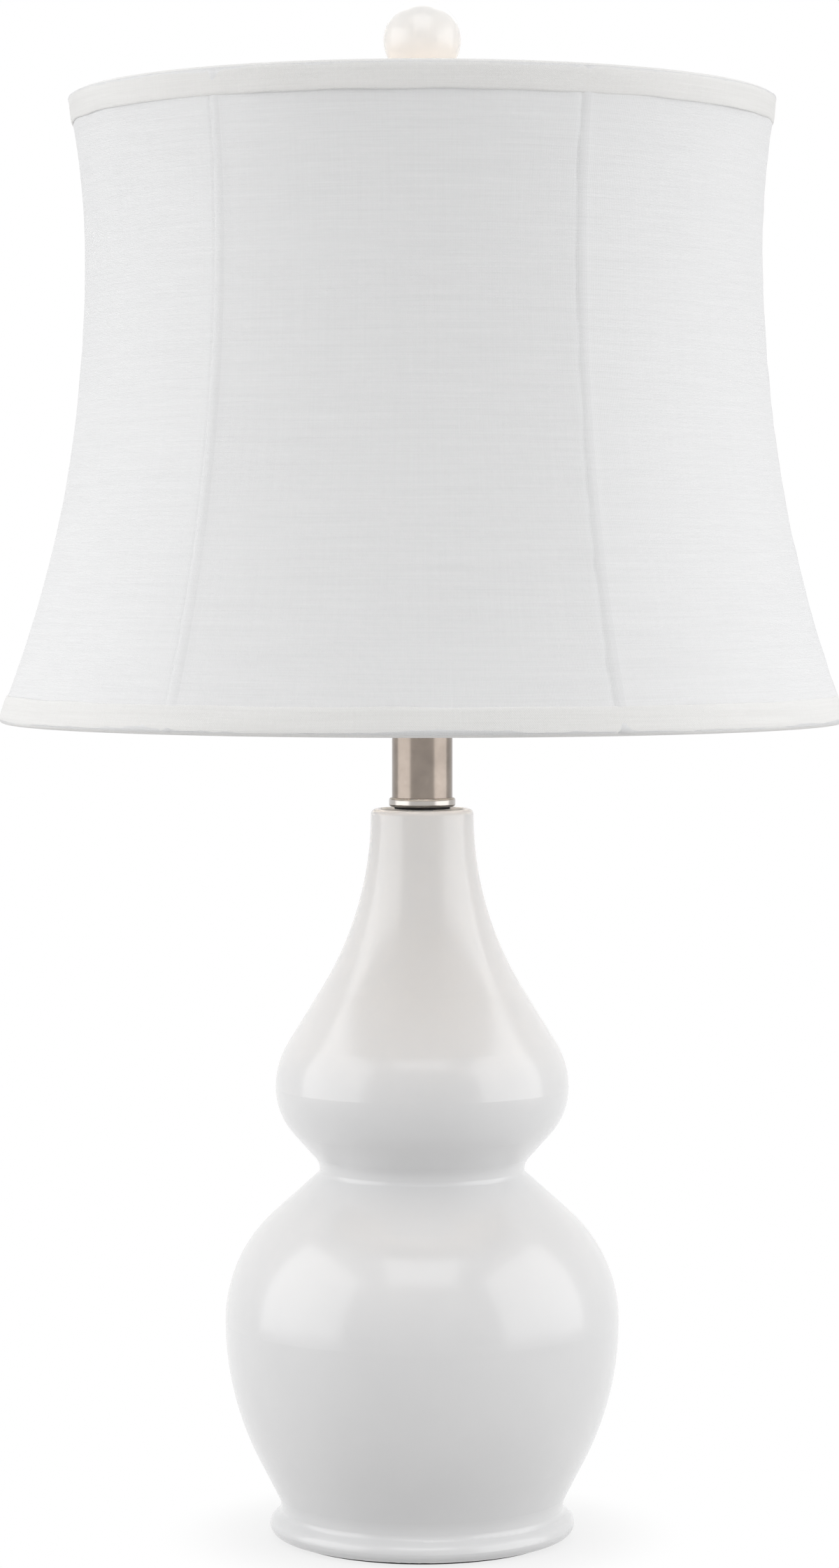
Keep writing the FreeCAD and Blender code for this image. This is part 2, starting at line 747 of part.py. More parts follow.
# ---------------------------------------------------------------- neck
def make_neck():
    """Between gourd and saddle: gasket, turned ring, brushed tube and its cap."""
    bore = "pipe_r + slip / 2"
    gasket = tube_corners(bore, "gasket_r", "body_height", "ring_bottom")
    keep("neck_gasket", turned_body("neck_gasket", gasket))
    spigot = "tube_r - tube_wall - slip / 2"
    ring = [
        (bore, "ring_bottom"),
        ("ring_r - ring_round", "ring_bottom"),
        ("ring_r", "ring_bottom + ring_round", "ring_round", -1),
        ("ring_r", "tube_bottom - ring_round"),
        ("ring_r - ring_round", "tube_bottom", "ring_round", -1),
        (spigot, "tube_bottom"),
        (spigot, "tube_bottom + spigot_thick"),
        (bore, "tube_bottom + spigot_thick"),
    ]
    keep("neck_ring", turned_body("neck_ring", ring))
    tube = tube_corners("tube_r - tube_wall", "tube_r", "tube_bottom", "tube_top")
    keep("neck_tube", turned_body("neck_tube", tube))
    cap = [
        (bore, "tube_top - spigot_thick"),
        (spigot, "tube_top - spigot_thick"),
        (spigot, "tube_top"),
        ("tube_r + tube_cap_lip", "tube_top"),
        ("tube_r + tube_cap_lip", "saddle_bottom"),
        (bore, "saddle_bottom"),
    ]
    keep("tube_cap", turned_body("tube_cap", cap))


# ---------------------------------------------------------------- harp saddle
def make_saddle():
    """A strip bent up at both ends into prongs, with a hole for the pipe."""
    body = start_body("saddle")
    strip = start_sketch(body, "saddle_strip", UPRIGHT)
    lift = "saddle_bottom + saddle_rise"
    reach_in, reach_out = "(saddle_reach - saddle_thick / 2)", "(saddle_reach + saddle_thick / 2)"
    draw_loop(strip, [
        (f"0 - {reach_out}", lift),
        ("0 - saddle_flat", "saddle_bottom"),
        ("saddle_flat", "saddle_bottom"),
        (reach_out, lift),
        (reach_out, f"{lift} + saddle_thick"),
        (reach_in, f"{lift} + saddle_thick"),
        ("saddle_flat", "saddle_top"),
        ("0 - saddle_flat", "saddle_top"),
        (f"0 - {reach_in}", f"{lift} + saddle_thick"),
        (f"0 - {reach_out}", f"{lift} + saddle_thick"),
    ])
    pad_both(body, strip, "saddle_width")
    prongs = start_sketch(body, "saddle_prongs", UPRIGHT)
    for side in ("", "0 - "):
        edges = (f"{side}{reach_in}", f"{side}{reach_out}")
        draw_loop(prongs, [
            (edges[0], f"{lift} + saddle_thick / 2"),
            (edges[1], f"{lift} + saddle_thick / 2"),
            (edges[1], "prong_top"),
            (edges[0], "prong_top"),
        ])
    pad_both(body, prongs, "prong_width")
    doc.recompute()
    hole = cylinder("saddle_hole", "pipe_r + slip / 2", "saddle_thick + 2 * run_out",
                    (0, 0, "saddle_bottom - run_out"))
    return keep("harp_saddle", cut("saddle_bored", body, hole))


def pad_both(body, sketch, width):
    """Pads a sketch evenly to both sides."""
    pad = body.newObject("PartDesign::Pad", f"{sketch.Name}_pad")
    pad.Profile = sketch
    pad.SideType = "Symmetric"
    bind(pad, {"Length": width})
    sketch.Visibility = False
    return pad


# ---------------------------------------------------------------- harp
def make_harp():
    """The wire hoop, its flattened feet and the block at its crown."""
    body = start_body("harp_hoop")
    spine = start_sketch(body, "harp_line", UPRIGHT)
    middle = ("(saddle_reach + harp_half_width) / 2", "(leg_top + wide_height) / 2")
    right = [
        ("saddle_reach", "foot_top"),
        ("saddle_reach", "leg_top"),
        (*middle, "harp_ogee", 1),
        ("harp_half_width", "wide_height", "harp_ogee", -1),
        ("harp_knee_x", "harp_knee_height", "harp_side_round", -1),
        ("harp_crown_half", "crown_wire", "harp_top_round", -1),
    ]
    left = [("0 - " + right[-1][0], "crown_wire")]
    for index in range(len(right) - 1, 0, -1):
        across, up = right[index - 1][:2]
        left.append((f"0 - {across}", up) + tuple(right[index][2:]))
    draw_open(spine, right + left)
    ring = start_sketch(body, "harp_section", LEVEL)
    ring.AttachmentOffset = Placement(Vector(0, 0, worth("foot_top")), Rotation())
    ring.setExpression(".AttachmentOffset.Base.z", formula("foot_top"))
    section = Part.Circle(Vector(worth("saddle_reach"), 0, 0), Vector(0, 0, 1), worth("harp_wire_r"))
    circle = ring.addGeometry(section, False)
    pin(ring, circle, 3, "saddle_reach", 0)
    size_radius(ring, circle, "harp_wire_r")
    doc.recompute()
    pipe = body.newObject("PartDesign::AdditivePipe", "Hoop")
    pipe.Profile = ring
    pipe.Spine = (spine, [f"Edge{k + 1}" for k in range(len(spine.Geometry))])
    doc.recompute()
    keep("harp_hoop", body)
    feet = [harp_foot(side) for side in (1, -1)]
    keep("harp_feet", group("harp_feet_pair", feet))
    plug = cylinder("crown_block", "crown_r", "crown_top - crown_bottom", (0, 0, "crown_bottom"))
    across = cylinder("crown_way", "harp_wire_r", "2 * (crown_r + run_out)",
                      ("0 - (crown_r + run_out)", 0, "crown_wire"), Rotation(Vector(0, 1, 0), 90))
    pin_hole = cylinder("crown_socket", "stud_pin_r + rest_gap", "stud_pin_length + slip",
                        (0, 0, "crown_top - stud_pin_length - slip"))
    keep("harp_crown", cut("crown_bored", plug, fuse("crown_tools", [across, pin_hole])))


def draw_open(sketch, stops):
    """An open line through pinned stops, with stretches as in draw_loop."""
    points = [Vector(worth(s[0]), worth(s[1]), 0) for s in stops]
    last = None
    for index in range(1, len(stops)):
        stop, start, end = stops[index], points[index - 1], points[index]
        bent = len(stop) > 2
        piece = bowed(start, end, worth(stop[2]), stop[3]) if bent else Part.LineSegment(start, end)
        geo = sketch.addGeometry(piece, False)
        first, final = (2, 1) if bent and stop[3] > 0 else (1, 2)
        if last is None:
            pin(sketch, geo, first, *stops[0][:2])
        else:
            sketch.addConstraint(Sketcher.Constraint("Coincident", *last, geo, first))
        pin(sketch, geo, final, *stop[:2])
        if bent:
            size_radius(sketch, geo, stop[2])
        last = (geo, final)


def harp_foot(side):
    """A flattened sleeve on the wire's end that drops over a prong."""
    name = "right" if side > 0 else "left"
    centre = "saddle_reach" if side > 0 else "0 - saddle_reach"
    body = block(f"foot_{name}", "2 * foot_half_x", "2 * foot_half_y", "foot_length",
                 (f"{centre} - foot_half_x", "0 - foot_half_y", "foot_bottom"))
    slot = block(f"foot_slot_{name}", "saddle_thick + 2 * slip", "prong_width + 2 * slip",
                 "prong_length + slip",
                 (f"{centre} - saddle_thick / 2 - slip", "0 - prong_width / 2 - slip", "foot_bottom - slip"))
    return cut(f"foot_open_{name}", body, slot)


def make_sleeves():
    """The sleeves that lock the harp's feet onto the prongs."""
    for name, centre in (("right", "saddle_reach"), ("left", "0 - saddle_reach")):
        sleeve = turned_body(f"sleeve_{name}", tube_corners("sleeve_bore", "sleeve_r", 0, "sleeve_length"))
        bind(sleeve, {".Placement.Base.x": centre, ".Placement.Base.z": "foot_bottom"})
        keep(f"harp_sleeve_{name}", sleeve)


def make_stud():
    """The threaded stud that the shade hangs on, turning in the crown on a pin."""
    stud = turned_body("stud", [
        (0, "crown_top - stud_pin_length"),
        ("stud_pin_r", "crown_top - stud_pin_length"),
        ("stud_pin_r", "seat_bottom"),
        ("stud_seat_r", "seat_bottom"),
        ("stud_seat_r", "seat_top"),
        ("stud_r", "seat_top"),
        ("stud_r", "stud_top - thread_chamfer"),
        ("stud_r - thread_chamfer", "stud_top"),
        (0, "stud_top"),
    ])
    keep("shade_stud", stud)


# ---------------------------------------------------------------- socket
def make_socket():
    """The nut over the saddle, the domed cap with its set screw, and the lined shell."""
    bore = "pipe_r + slip / 2"
    keep("saddle_nut", hex_nut("saddle_nut_blank", "saddle_top", "saddle_nut_thick"))
    skirt_r = "(shell_r + slip + cap_wall)"
    cap = [
        (bore, "hub_bottom"),
        ("hub_r", "hub_bottom"),
        ("hub_r", "dome_bottom"),
        (skirt_r, "skirt_bottom", f"{skirt_r}", 1),
        (skirt_r, "skirt_top"),
        ("shell_r + slip", "skirt_top"),
        ("shell_r + slip", "skirt_bottom"),
        ("hub_r - cap_wall", "dome_bottom + cap_wall", f"{skirt_r} - cap_wall", -1),
        (bore, "dome_bottom + cap_wall"),
    ]
    shell = turned_body("cap_shell", cap)
    screw_way = Rotation(Vector(0, 1, 0), 90)
    axis = "hub_bottom + hub_height / 2"
    screw_hole = cylinder("set_screw_hole", "set_screw_r + rest_gap", "hub_r * 2", (0, 0, axis), screw_way)
    keep("socket_cap", cut("cap_drilled", shell, screw_hole))
    screw = cylinder("set_screw", "set_screw_r", "hub_r - pipe_r + slip", (bore, 0, axis), screw_way)
    keep("set_screw", screw)
    make_shell()
    liner = tube_corners("liner_r - liner_thick", "liner_r", "block_bottom", "shell_top - end_gap")
    liner_way = Rotation(Vector(1, 0, 0), 90)
    liner_hole = cylinder("liner_hole", "shaft_r + slip", "shell_r * 2", (0, 0, "knob_axis"), liner_way)
    keep("socket_liner", cut("liner_cut", turned_body("liner", liner), liner_hole))
    make_inside()


def make_shell():
    """The pressed shell with its bead and the slot for the switch."""
    bead = "shell_r + shell_bead"
    middle = "shell_top - bead_drop"
    outline = [
        ("shell_bore", "shell_bottom"),
        ("shell_r", "shell_bottom"),
        ("shell_r", f"{middle} - bead_half"),
        (bead, middle),
        ("shell_r", f"{middle} + bead_half"),
        ("shell_r", "shell_top - shell_lip_height"),
        ("shell_r + shell_lip", "shell_top"),
        ("shell_bore", "shell_top"),
    ]
    slot = cylinder("switch_slot", "shaft_r + slip", "shell_r * 2", (0, 0, "knob_axis"),
                    Rotation(Vector(1, 0, 0), 90))
    keep("socket_shell", cut("shell_cut", turned_body("shell", outline), slot))


def make_inside():
    """The moulded block, screw shell, middle contact and wire screws."""
    core = cylinder("block_core", "block_r", "block_height", (0, 0, "block_bottom"))
    way = Rotation(Vector(1, 0, 0), 90)
    shaft_hole = cylinder("block_bore", "shaft_r + rest_gap", "block_r * 2",
                          (0, "shaft_deep + rest_gap", "knob_axis"), way)
    seats = [terminal(f"terminal_seat_{k}", k, "block_r", "terminal_r + rest_gap",
                      "terminal_sunk + terminal_length + rest_gap") for k in range(TERMINALS)]
    keep("socket_block", cut("block_cut", core, fuse("block_tools", [shaft_hole] + seats)))
    screws = [terminal(f"terminal_{k}", k, "(block_r - terminal_sunk)", "terminal_r", "terminal_length")
              for k in range(TERMINALS)]
    keep("terminal_screws", group("terminal_pair", screws))
    tube = tube_corners("screw_shell_r - screw_shell_wall", "screw_shell_r", "block_top",
                        "block_top + screw_shell_height")
    keep("screw_shell", turned_body("screw_shell", tube))
    tongue = start_body("contact_tongue")
    strip = start_sketch(tongue, "contact_line", UPRIGHT)
    draw_loop(strip, [
        ("0 - tongue_tail", "block_top"),
        ("0 - tongue_bend", "block_top"),
        ("tongue_slope - tongue_bend", "contact_top - contact_thick"),
        ("tongue_tip", "contact_top - contact_thick"),
        ("tongue_tip", "contact_top"),
        ("0 - tongue_bend", "contact_top"),
        ("0 - tongue_bend - tongue_slope", "block_top + contact_thick"),
        ("0 - tongue_tail", "block_top + contact_thick"),
    ])
    pad_both(tongue, strip, "contact_width")
    keep("centre_contact", tongue)


def terminal(label, index, head, radius, length):
    """A wire screw or its seat, lying across the block on one side, with its head outward."""
    side = 1 if index == 0 else -1
    start = head if side > 0 else f"0 - {head}"
    return cylinder(label, radius, length, (start, 0, "knob_axis"), Rotation(Vector(0, 1, 0), -90 * side))


def make_switch():
    """The turning shaft and its knob, on the lamp's front."""
    way = Rotation(Vector(1, 0, 0), 90)
    reach = "(shell_r + knob_gap)"
    shaft = cylinder("shaft", "shaft_r", f"{reach} + shaft_deep", (0, "shaft_deep", "knob_axis"), way)
    keep("switch_shaft", shaft)
    body = start_body("knob")
    outline = start_sketch(body, "knob_outline", UPRIGHT)
    draw_loop(outline, [
        ("shaft_r + rest_gap", 0),
        ("knob_back_r", 0),
        ("knob_r", "knob_swell", "knob_swell_round", -1),
        ("knob_r", "knob_length - knob_edge"),
        ("knob_r - knob_face_inset", "knob_length", "knob_edge_round", -1),
        (0, "knob_length"),
        (0, "knob_bore_deep"),
        ("shaft_r + rest_gap", "knob_bore_deep"),
    ])
    revolve(body, outline)
    plan = start_sketch(body, "knob_flute", LEVEL)
    dot = Part.Circle(Vector(worth("knob_r"), 0, 0), Vector(0, 0, 1), worth("flute_r"))
    circle = plan.addGeometry(dot, False)
    pin(plan, circle, 3, "knob_r + flute_proud", 0)
    size_radius(plan, circle, "flute_r")
    doc.recompute()
    flute = body.newObject("PartDesign::Pocket", "Flute")
    flute.Profile = plan
    flute.Type = "ThroughAll"
    flute.Midplane = True
    doc.recompute()
    ring = body.newObject("PartDesign::PolarPattern", "Flutes")
    ring.Originals = [flute]
    ring.Axis = (plan, ["N_Axis"])
    ring.Angle = 360
    ring.Occurrences = KNOB_FLUTES
    body.Tip = ring
    doc.recompute()
    body.Placement = Placement(Vector(0, 0, 0), way)
    bind(body, {".Placement.Base.y": f"knob_bore_deep - {reach}", ".Placement.Base.z": "knob_axis"})
    keep("switch_knob", body)


# ---------------------------------------------------------------- bulb
def make_bulb():
    """The glass, its screw base and the contact at the base's end."""
    foot = "bulb_bottom + bulb_tip_length"
    base = turned_body("bulb_base", [
        ("bulb_tip_r", foot),
        ("bulb_base_r - bulb_base_taper", f"{foot} + bulb_base_rim"),
        ("bulb_base_r", f"{foot} + bulb_base_shoulder"),
        ("bulb_base_r", "bulb_base_top"),
        ("bulb_base_r - bulb_base_wall", "bulb_base_top"),
        ("bulb_base_r - bulb_base_wall", f"{foot} + bulb_base_shoulder + bulb_base_wall"),
        ("bulb_tip_r", f"{foot} + bulb_tip_deep"),
    ])
    keep("bulb_base", base)
    tip = turned_body("bulb_tip", [
        (0, "bulb_bottom"),
        ("bulb_tip_r - bulb_tip_round", "bulb_bottom"),
        ("bulb_tip_r", "bulb_bottom + bulb_tip_round", "bulb_tip_round", -1),
        ("bulb_tip_r", f"{foot} + bulb_tip_deep"),
        (0, f"{foot} + bulb_tip_deep"),
    ])
    keep("bulb_contact", tip)
    glass = start_body("glass")
    revolve(glass, draw_glass(glass, "glass_outline", "0"))
    revolve(glass, draw_glass(glass, "glass_hollow", "bulb_glass"), "Groove", "Hollow")
    keep("bulb_glass", glass)


def draw_glass(body, name, inset):
    """Half of the bulb's outline, drawn in by a distance: upright neck, sweep and crown.

    The neck runs down to the base's top at any inset, so the hollow is open there.
    """
    outline = start_sketch(body, name, UPRIGHT)
    neck, sweep, crown = f"bulb_neck_r - {inset}", f"bulb_neck_sweep + {inset}", f"bulb_r - {inset}"
    shoulder = "bulb_centre - bulb_shoulder"
    swept = numbers((f"{neck} + {sweep}", shoulder, sweep, -1))
    round_top = numbers(("0", "bulb_centre", crown, 1))
    low, high = tangent_points(swept, round_top)
    axis = Vector(0, worth("bulb_base_top"), 0)
    foot = Vector(worth(neck), axis.y, 0)
    start = Vector(foot.x, worth(shoulder), 0)
    top = Vector(0, worth(f"bulb_centre + {crown}"), 0)
    under, upright, bend, slope, dome, middle = outline.addGeometry([
        Part.LineSegment(axis, foot),
        Part.LineSegment(foot, start),
        bowed(start, low, swept[2], 1),
        Part.LineSegment(low, high),
        bowed(high, top, round_top[2], -1),
        Part.LineSegment(top, axis),
    ], False)
    for one, two in ((under, upright), (middle, under), (dome, middle)):
        outline.addConstraint(Sketcher.Constraint("Coincident", one, 2, two, 1))
    outline.addConstraint(Sketcher.Constraint("Tangent", upright, 2, bend, 2))
    outline.addConstraint(Sketcher.Constraint("Tangent", bend, 1, slope, 1))
    outline.addConstraint(Sketcher.Constraint("Tangent", slope, 2, dome, 1))
    outline.addConstraint(Sketcher.Constraint("Vertical", upright))
    outline.addConstraint(Sketcher.Constraint("PointOnObject", dome, 2, -2))
    size_radius(outline, bend, sweep)
    size_radius(outline, dome, crown)
    pin(outline, dome, 3, 0, "bulb_centre")
    pin(outline, under, 1, 0, "bulb_base_top")
    pin(outline, under, 2, neck, "bulb_base_top")
    pin(outline, upright, 2, None, shoulder)
    return outline


# ---------------------------------------------------------------- shade
def shade_radius(height):
    """The ribs' radius at a height: two sweeps that meet upright at the shade's waist."""
    above = height > worth("shade_waist_height")
    sweep = worth("shade_sweep_high" if above else "shade_sweep_low")
    rise = height - worth("shade_waist_height")
    return worth("shade_waist_r") + sweep - math.sqrt(sweep**2 - rise**2)


def shade_section(height, inset):
    """The shade's outline at a height: one shallow arc to each gore."""
    share = (height - worth("shade_bottom")) / worth("shade_height")
    dip = worth("gore_dip") * max(math.sin(math.pi * share), 0)
    radius = shade_radius(height) - inset
    step, turn = 2 * math.pi / GORES, math.radians(worth("seam_turn"))

    def at(angle, reach):
        return Vector(reach * math.sin(angle), -reach * math.cos(angle), height)

    arcs = []
    for gore in range(GORES):
        start = turn + gore * step
        middle = at(start + step / 2, radius - dip)
        arcs.append(Part.Arc(at(start, radius), middle, at(start + step, radius)).toShape())
    return Part.Wire(arcs)


def shade_solid(inset, low, high):
    """Everything within the shade's outline, drawn in by a distance, between two heights."""
    heights = [low + (high - low) * k / (SHADE_LEVELS - 1) for k in range(SHADE_LEVELS)]
    return Part.makeLoft([shade_section(height, inset) for height in heights], True, False)


def shade_layer(label, inset, thick, low, high):
    """A cloth layer between two heights."""
    layer = doc.addObject("Part::Feature", label)
    over = worth("run_out")
    layer.Shape = shade_solid(inset, low, high).cut(shade_solid(inset + thick, low - over, high + over))
    return layer


def make_shade_cloth():
    """Cover, lining and the tapes that bind the rims."""
    low, high = worth("shade_bottom"), worth("shade_top")
    cloth, gap = worth("cloth_thick"), worth("cloth_gap")
    keep("shade_cover", shade_layer("shade_cover", 0, cloth, low, high))
    inset, trim = worth("lining_inset"), worth("trim_width")
    hems = (worth("bottom_ring_height"), worth("top_ring_height - spider_wire_r - wire_gap"))
    keep("shade_lining", shade_layer("shade_lining", inset, worth("lining_thick"), *hems))
    thick = worth("trim_thick")
    keep("bottom_trim", shade_layer("bottom_trim", -gap - thick, thick, low, low + trim))
    keep("top_trim", shade_layer("top_trim", -gap - thick, thick, high - trim, high))


def make_shade_frame():
    """Rim rings, ribs and the spider that hangs the shade on its stud."""
    rings = {}
    for end in ("top", "bottom"):
        ring = doc.addObject("Part::Torus", f"{end}_wire")
        bind(ring, {"Radius1": f"{end}_ring_r", "Radius2": "ring_wire_r"})
        seat(ring, (0, 0, f"{end}_ring_height"))
        rings[end] = keep(f"shade_{end}_ring", ring)
    doc.recompute()
    ribs = doc.addObject("Part::Feature", "ribs")
    ribs.Shape = Part.makeCompound([rib_wire(k, rings) for k in range(GORES)])
    keep("shade_ribs", ribs)
    make_spider([rings["top"], ribs])


def rib_wire(index, rings):
    """A wire bent to the shade's sweep, butted between the rings."""
    inset = worth("ring_inset")
    low, high = worth("bottom_ring_height"), worth("top_ring_height")
    waist = worth("shade_waist_height")

    def at(height):
        return Vector(0, inset - shade_radius(height), height)

    arcs = [Part.Arc(at(a), at((a + b) / 2), at(b)).toShape() for a, b in ((low, waist), (waist, high))]
    heading = arcs[0].tangentAt(arcs[0].FirstParameter)
    section = Part.Wire(Part.makeCircle(worth("rib_wire_r"), at(low), heading))
    wire = Part.Wire(arcs).makePipeShell([section], True, True)
    wire.rotate(Vector(0, 0, 0), Vector(0, 0, 1), worth("seam_turn") + 360 / GORES * index)
    for ring in rings.values():
        wire = wire.cut(ring.Shape)
    return max(wire.Solids, key=lambda solid: solid.Volume)


def make_spider(rim):
    """The stamped hub and its three arms, welded together and butted to the rim's wires."""
    plate = turned_body("spider_plate", tube_corners("spider_hole_r", "spider_hub_r", "spider_bottom",
                                                      "spider_top"))
    arms = []
    for index in range(SPIDER_ARMS):
        turn = worth("seam_turn") + 360 / SPIDER_ARMS * index
        way = Rotation(Vector(0, 0, 1), turn) * Rotation(Vector(1, 0, 0), 90)
        arm = cylinder(f"spider_arm_{index}", "spider_wire_r", "top_ring_r - spider_hub_r + arm_lap",
                       (0, 0, "top_ring_height"), way)
        start = Rotation(Vector(0, 0, 1), turn).multVec(Vector(0, -1, 0))
        bind(arm, {".Placement.Base.x": f"(spider_hub_r - arm_lap) * {start.x:.9f}",
                   ".Placement.Base.y": f"(spider_hub_r - arm_lap) * {start.y:.9f}"})
        arms.append(arm)
    welded = fuse("spider_welded", [plate] + arms)
    keep("shade_spider", cut("spider_trimmed", welded, fuse("rim_wires", rim)))


# ---------------------------------------------------------------- finial
def make_finial():
    """The turned foot that screws onto the stud, and the ball cemented on it."""
    collar = "finial_bottom + finial_collar_thick"
    base = turned_body("finial_foot", [
        ("stud_r + slip / 2", "finial_bottom"),
        ("finial_collar_r", "finial_bottom"),
        ("finial_collar_r", collar),
        ("finial_waist_r", f"{collar} + finial_collar_run", "finial_collar_sweep", 1),
        ("finial_waist_r", "ball_bottom - finial_cup_drop"),
        ("finial_cup_r", "ball_bottom + finial_cup_rise", "finial_cup_sweep", 1),
        ("finial_shank_r", "ball_bottom - finial_cup_deep"),
        ("finial_shank_r", "ball_bottom + finial_shank_length"),
        (0, "ball_bottom + finial_shank_length"),
        (0, "stud_top + run_out"),
        ("stud_r + slip / 2", "stud_top + run_out"),
    ])
    keep("finial_base", base)
    ball = doc.addObject("Part::Sphere", "ball")
    bind(ball, {"Radius": "finial_ball_r", ".Placement.Base.z": "ball_centre"})
    shank = cylinder("ball_bore", "finial_shank_r", "finial_shank_length + run_out",
                     (0, 0, "ball_bottom - run_out"))
    keep("finial_ball", cut("ball_bored", ball, fuse("ball_tools", [shank, base])))


for build in (make_ceramic_body, make_cord_bushing, make_felt_pad, make_pipe, make_base_hardware, make_neck,
              make_saddle, make_harp, make_sleeves, make_stud, make_socket, make_switch, make_bulb,
              make_shade_frame, make_shade_cloth, make_finial):
    build()
doc.recompute()

# ---------------------------------------------------------------- checks and files
for item in doc.Objects:
    if {"Invalid", "Error"} & set(item.State):
        raise RuntimeError(f"{item.Label} did not build: {item.State}")
for node, thing in NODES.items():
    if thing.Shape.isNull() or not thing.Shape.isValid() or not thing.Shape.Solids:
        raise RuntimeError(f"{node} has no valid solid")

os.makedirs("parts", exist_ok=True)
for node, thing in NODES.items():
    thing.Shape.exportStep(f"parts/{node}.step")
    box = thing.Shape.BoundBox
    print(f"{node}: {len(thing.Shape.Solids)} solid, {thing.Shape.Volume:.0f} mm3, "
          f"z {box.ZMin:.2f} to {box.ZMax:.2f}")
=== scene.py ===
import math

import bmesh
import bpy
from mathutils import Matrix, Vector, noise


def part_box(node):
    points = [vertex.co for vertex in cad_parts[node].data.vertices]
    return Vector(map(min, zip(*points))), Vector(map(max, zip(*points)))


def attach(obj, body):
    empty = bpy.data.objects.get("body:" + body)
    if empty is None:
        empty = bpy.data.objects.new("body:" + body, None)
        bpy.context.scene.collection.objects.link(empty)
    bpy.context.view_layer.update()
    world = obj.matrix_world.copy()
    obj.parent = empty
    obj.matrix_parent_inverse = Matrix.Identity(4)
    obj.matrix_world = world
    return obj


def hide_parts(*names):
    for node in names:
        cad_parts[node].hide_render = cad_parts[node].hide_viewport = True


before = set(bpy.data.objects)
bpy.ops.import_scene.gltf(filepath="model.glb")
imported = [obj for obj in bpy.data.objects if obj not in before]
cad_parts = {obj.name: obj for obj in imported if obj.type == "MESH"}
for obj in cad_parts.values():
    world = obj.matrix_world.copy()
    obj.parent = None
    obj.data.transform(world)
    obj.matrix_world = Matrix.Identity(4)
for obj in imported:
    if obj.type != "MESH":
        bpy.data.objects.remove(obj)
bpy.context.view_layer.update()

# ---------------------------------------------------------------- sizes, in metres
MM = 0.001
FULL_TURN = 2 * math.pi
FRONT = -math.pi / 2
GORES = 6
GORE_TURN = FULL_TURN / GORES
FIRST_SEAM = FRONT + math.radians(-34.75)
SHADE_WAIST_R = 147.4 * MM
SHADE_WAIST_HEIGHT = 566.0 * MM
SHADE_SWEEP_LOW = 582.0 * MM
SHADE_SWEEP_HIGH = 380.0 * MM
GORE_DIP = 4.5 * MM
GORE_ARC = SHADE_WAIST_R * GORE_TURN
COVER_THICK = 0.8 * MM
COVER_EDGE = 0.6 * MM
LINING_THICK = 0.5 * MM
LINING_INSET = 4.6 * MM
TAPE_WIDTH = 11.5 * MM

SEAM_STRIP = 3.9 * MM
STRIP_RISE = 0.30 * MM
STRIP_EDGE = 0.5 * MM
STITCH_DEPTH = 0.45 * MM
STITCH_WIDTH = 0.9 * MM
PUCKER_REACH = 14 * MM
HEM_SHARE = 0.03

SHADE_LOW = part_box("shade_cover")[0].z
SHADE_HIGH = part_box("shade_cover")[1].z


# ---------------------------------------------------------------- mesh helpers
def finish_mesh(name, bm, body, material):
    """Turns a bmesh into a smooth piece that rides on a body."""
    mesh = bpy.data.meshes.new(name)
    bm.to_mesh(mesh)
    bm.free()
    piece = bpy.data.objects.new(name, mesh)
    bpy.context.scene.collection.objects.link(piece)
    for face in mesh.polygons:
        face.use_smooth = True
    mesh.materials.append(material)
    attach(piece, body)
    return piece


def add_wall(piece, thickness):
    """Gives a skin its wall, inwards from its outer face."""
    wall = piece.modifiers.new("wall", "SOLIDIFY")
    wall.thickness = thickness
    wall.offset = -1


def line_of(bm, points, closed=False):
    """A chain of edges through (radius, height) points, as geometry to spin."""
    verts = [bm.verts.new((radius, 0, height)) for radius, height in points]
    edges = [bm.edges.new(pair) for pair in zip(verts, verts[1:])]
    if closed:
        edges.append(bm.edges.new((verts[-1], verts[0])))
    return verts + edges


def spin_round(bm, geom, steps):
    """Spins a profile once round the upright axis."""
    bmesh.ops.spin(bm, geom=geom, cent=(0, 0, 0), axis=(0, 0, 1), angle=FULL_TURN, steps=steps,
                   use_merge=True, use_duplicate=False)


def place_round(vert, reach, turn):
    """Moves a vertex to a distance and an angle about the upright axis."""
    vert.co.x = reach * math.cos(turn)
    vert.co.y = reach * math.sin(turn)


def ripple(size, across, along, row=0.0):
    """A smooth uneven push; the larger a coordinate's factor, the shorter its waves."""
    return noise.noise(Vector((across, along, row))) * size


# ---------------------------------------------------------------- node helpers
def new_material(name):
    """A material, its node tree and its shader."""
    material = bpy.data.materials.new(name)
    material.use_nodes = True
    tree = material.node_tree
    return material, tree, tree.nodes["Principled BSDF"]


def add(tree, kind, **properties):
    """A node with its properties set."""
    node = tree.nodes.new(kind)
    for key, value in properties.items():
        setattr(node, key, value)
    return node


def set_sockets(node, **values):
    """Sets unlinked sockets; an underscore stands for a space in a socket's name."""
    for key, value in values.items():
        node.inputs[key.replace("_", " ")].default_value = value


def mapped(tree, source, scale=(1, 1, 1), turn=(0, 0, 0)):
    """A Mapping node's vector, fed by a Texture Coordinate output."""
    coords = add(tree, "ShaderNodeTexCoord")
    mapping = add(tree, "ShaderNodeMapping")
    set_sockets(mapping, Scale=scale, Rotation=turn)
    tree.links.new(coords.outputs[source], mapping.inputs["Vector"])
    return mapping.outputs["Vector"]


def noise_at(tree, vector, scale, detail=3.0, rough=0.5):
    """A noise texture's value, from 0 to 1."""
    node = add(tree, "ShaderNodeTexNoise")
    set_sockets(node, Scale=scale, Detail=detail, Roughness=rough)
    tree.links.new(vector, node.inputs["Vector"])
    return node.outputs["Fac"]


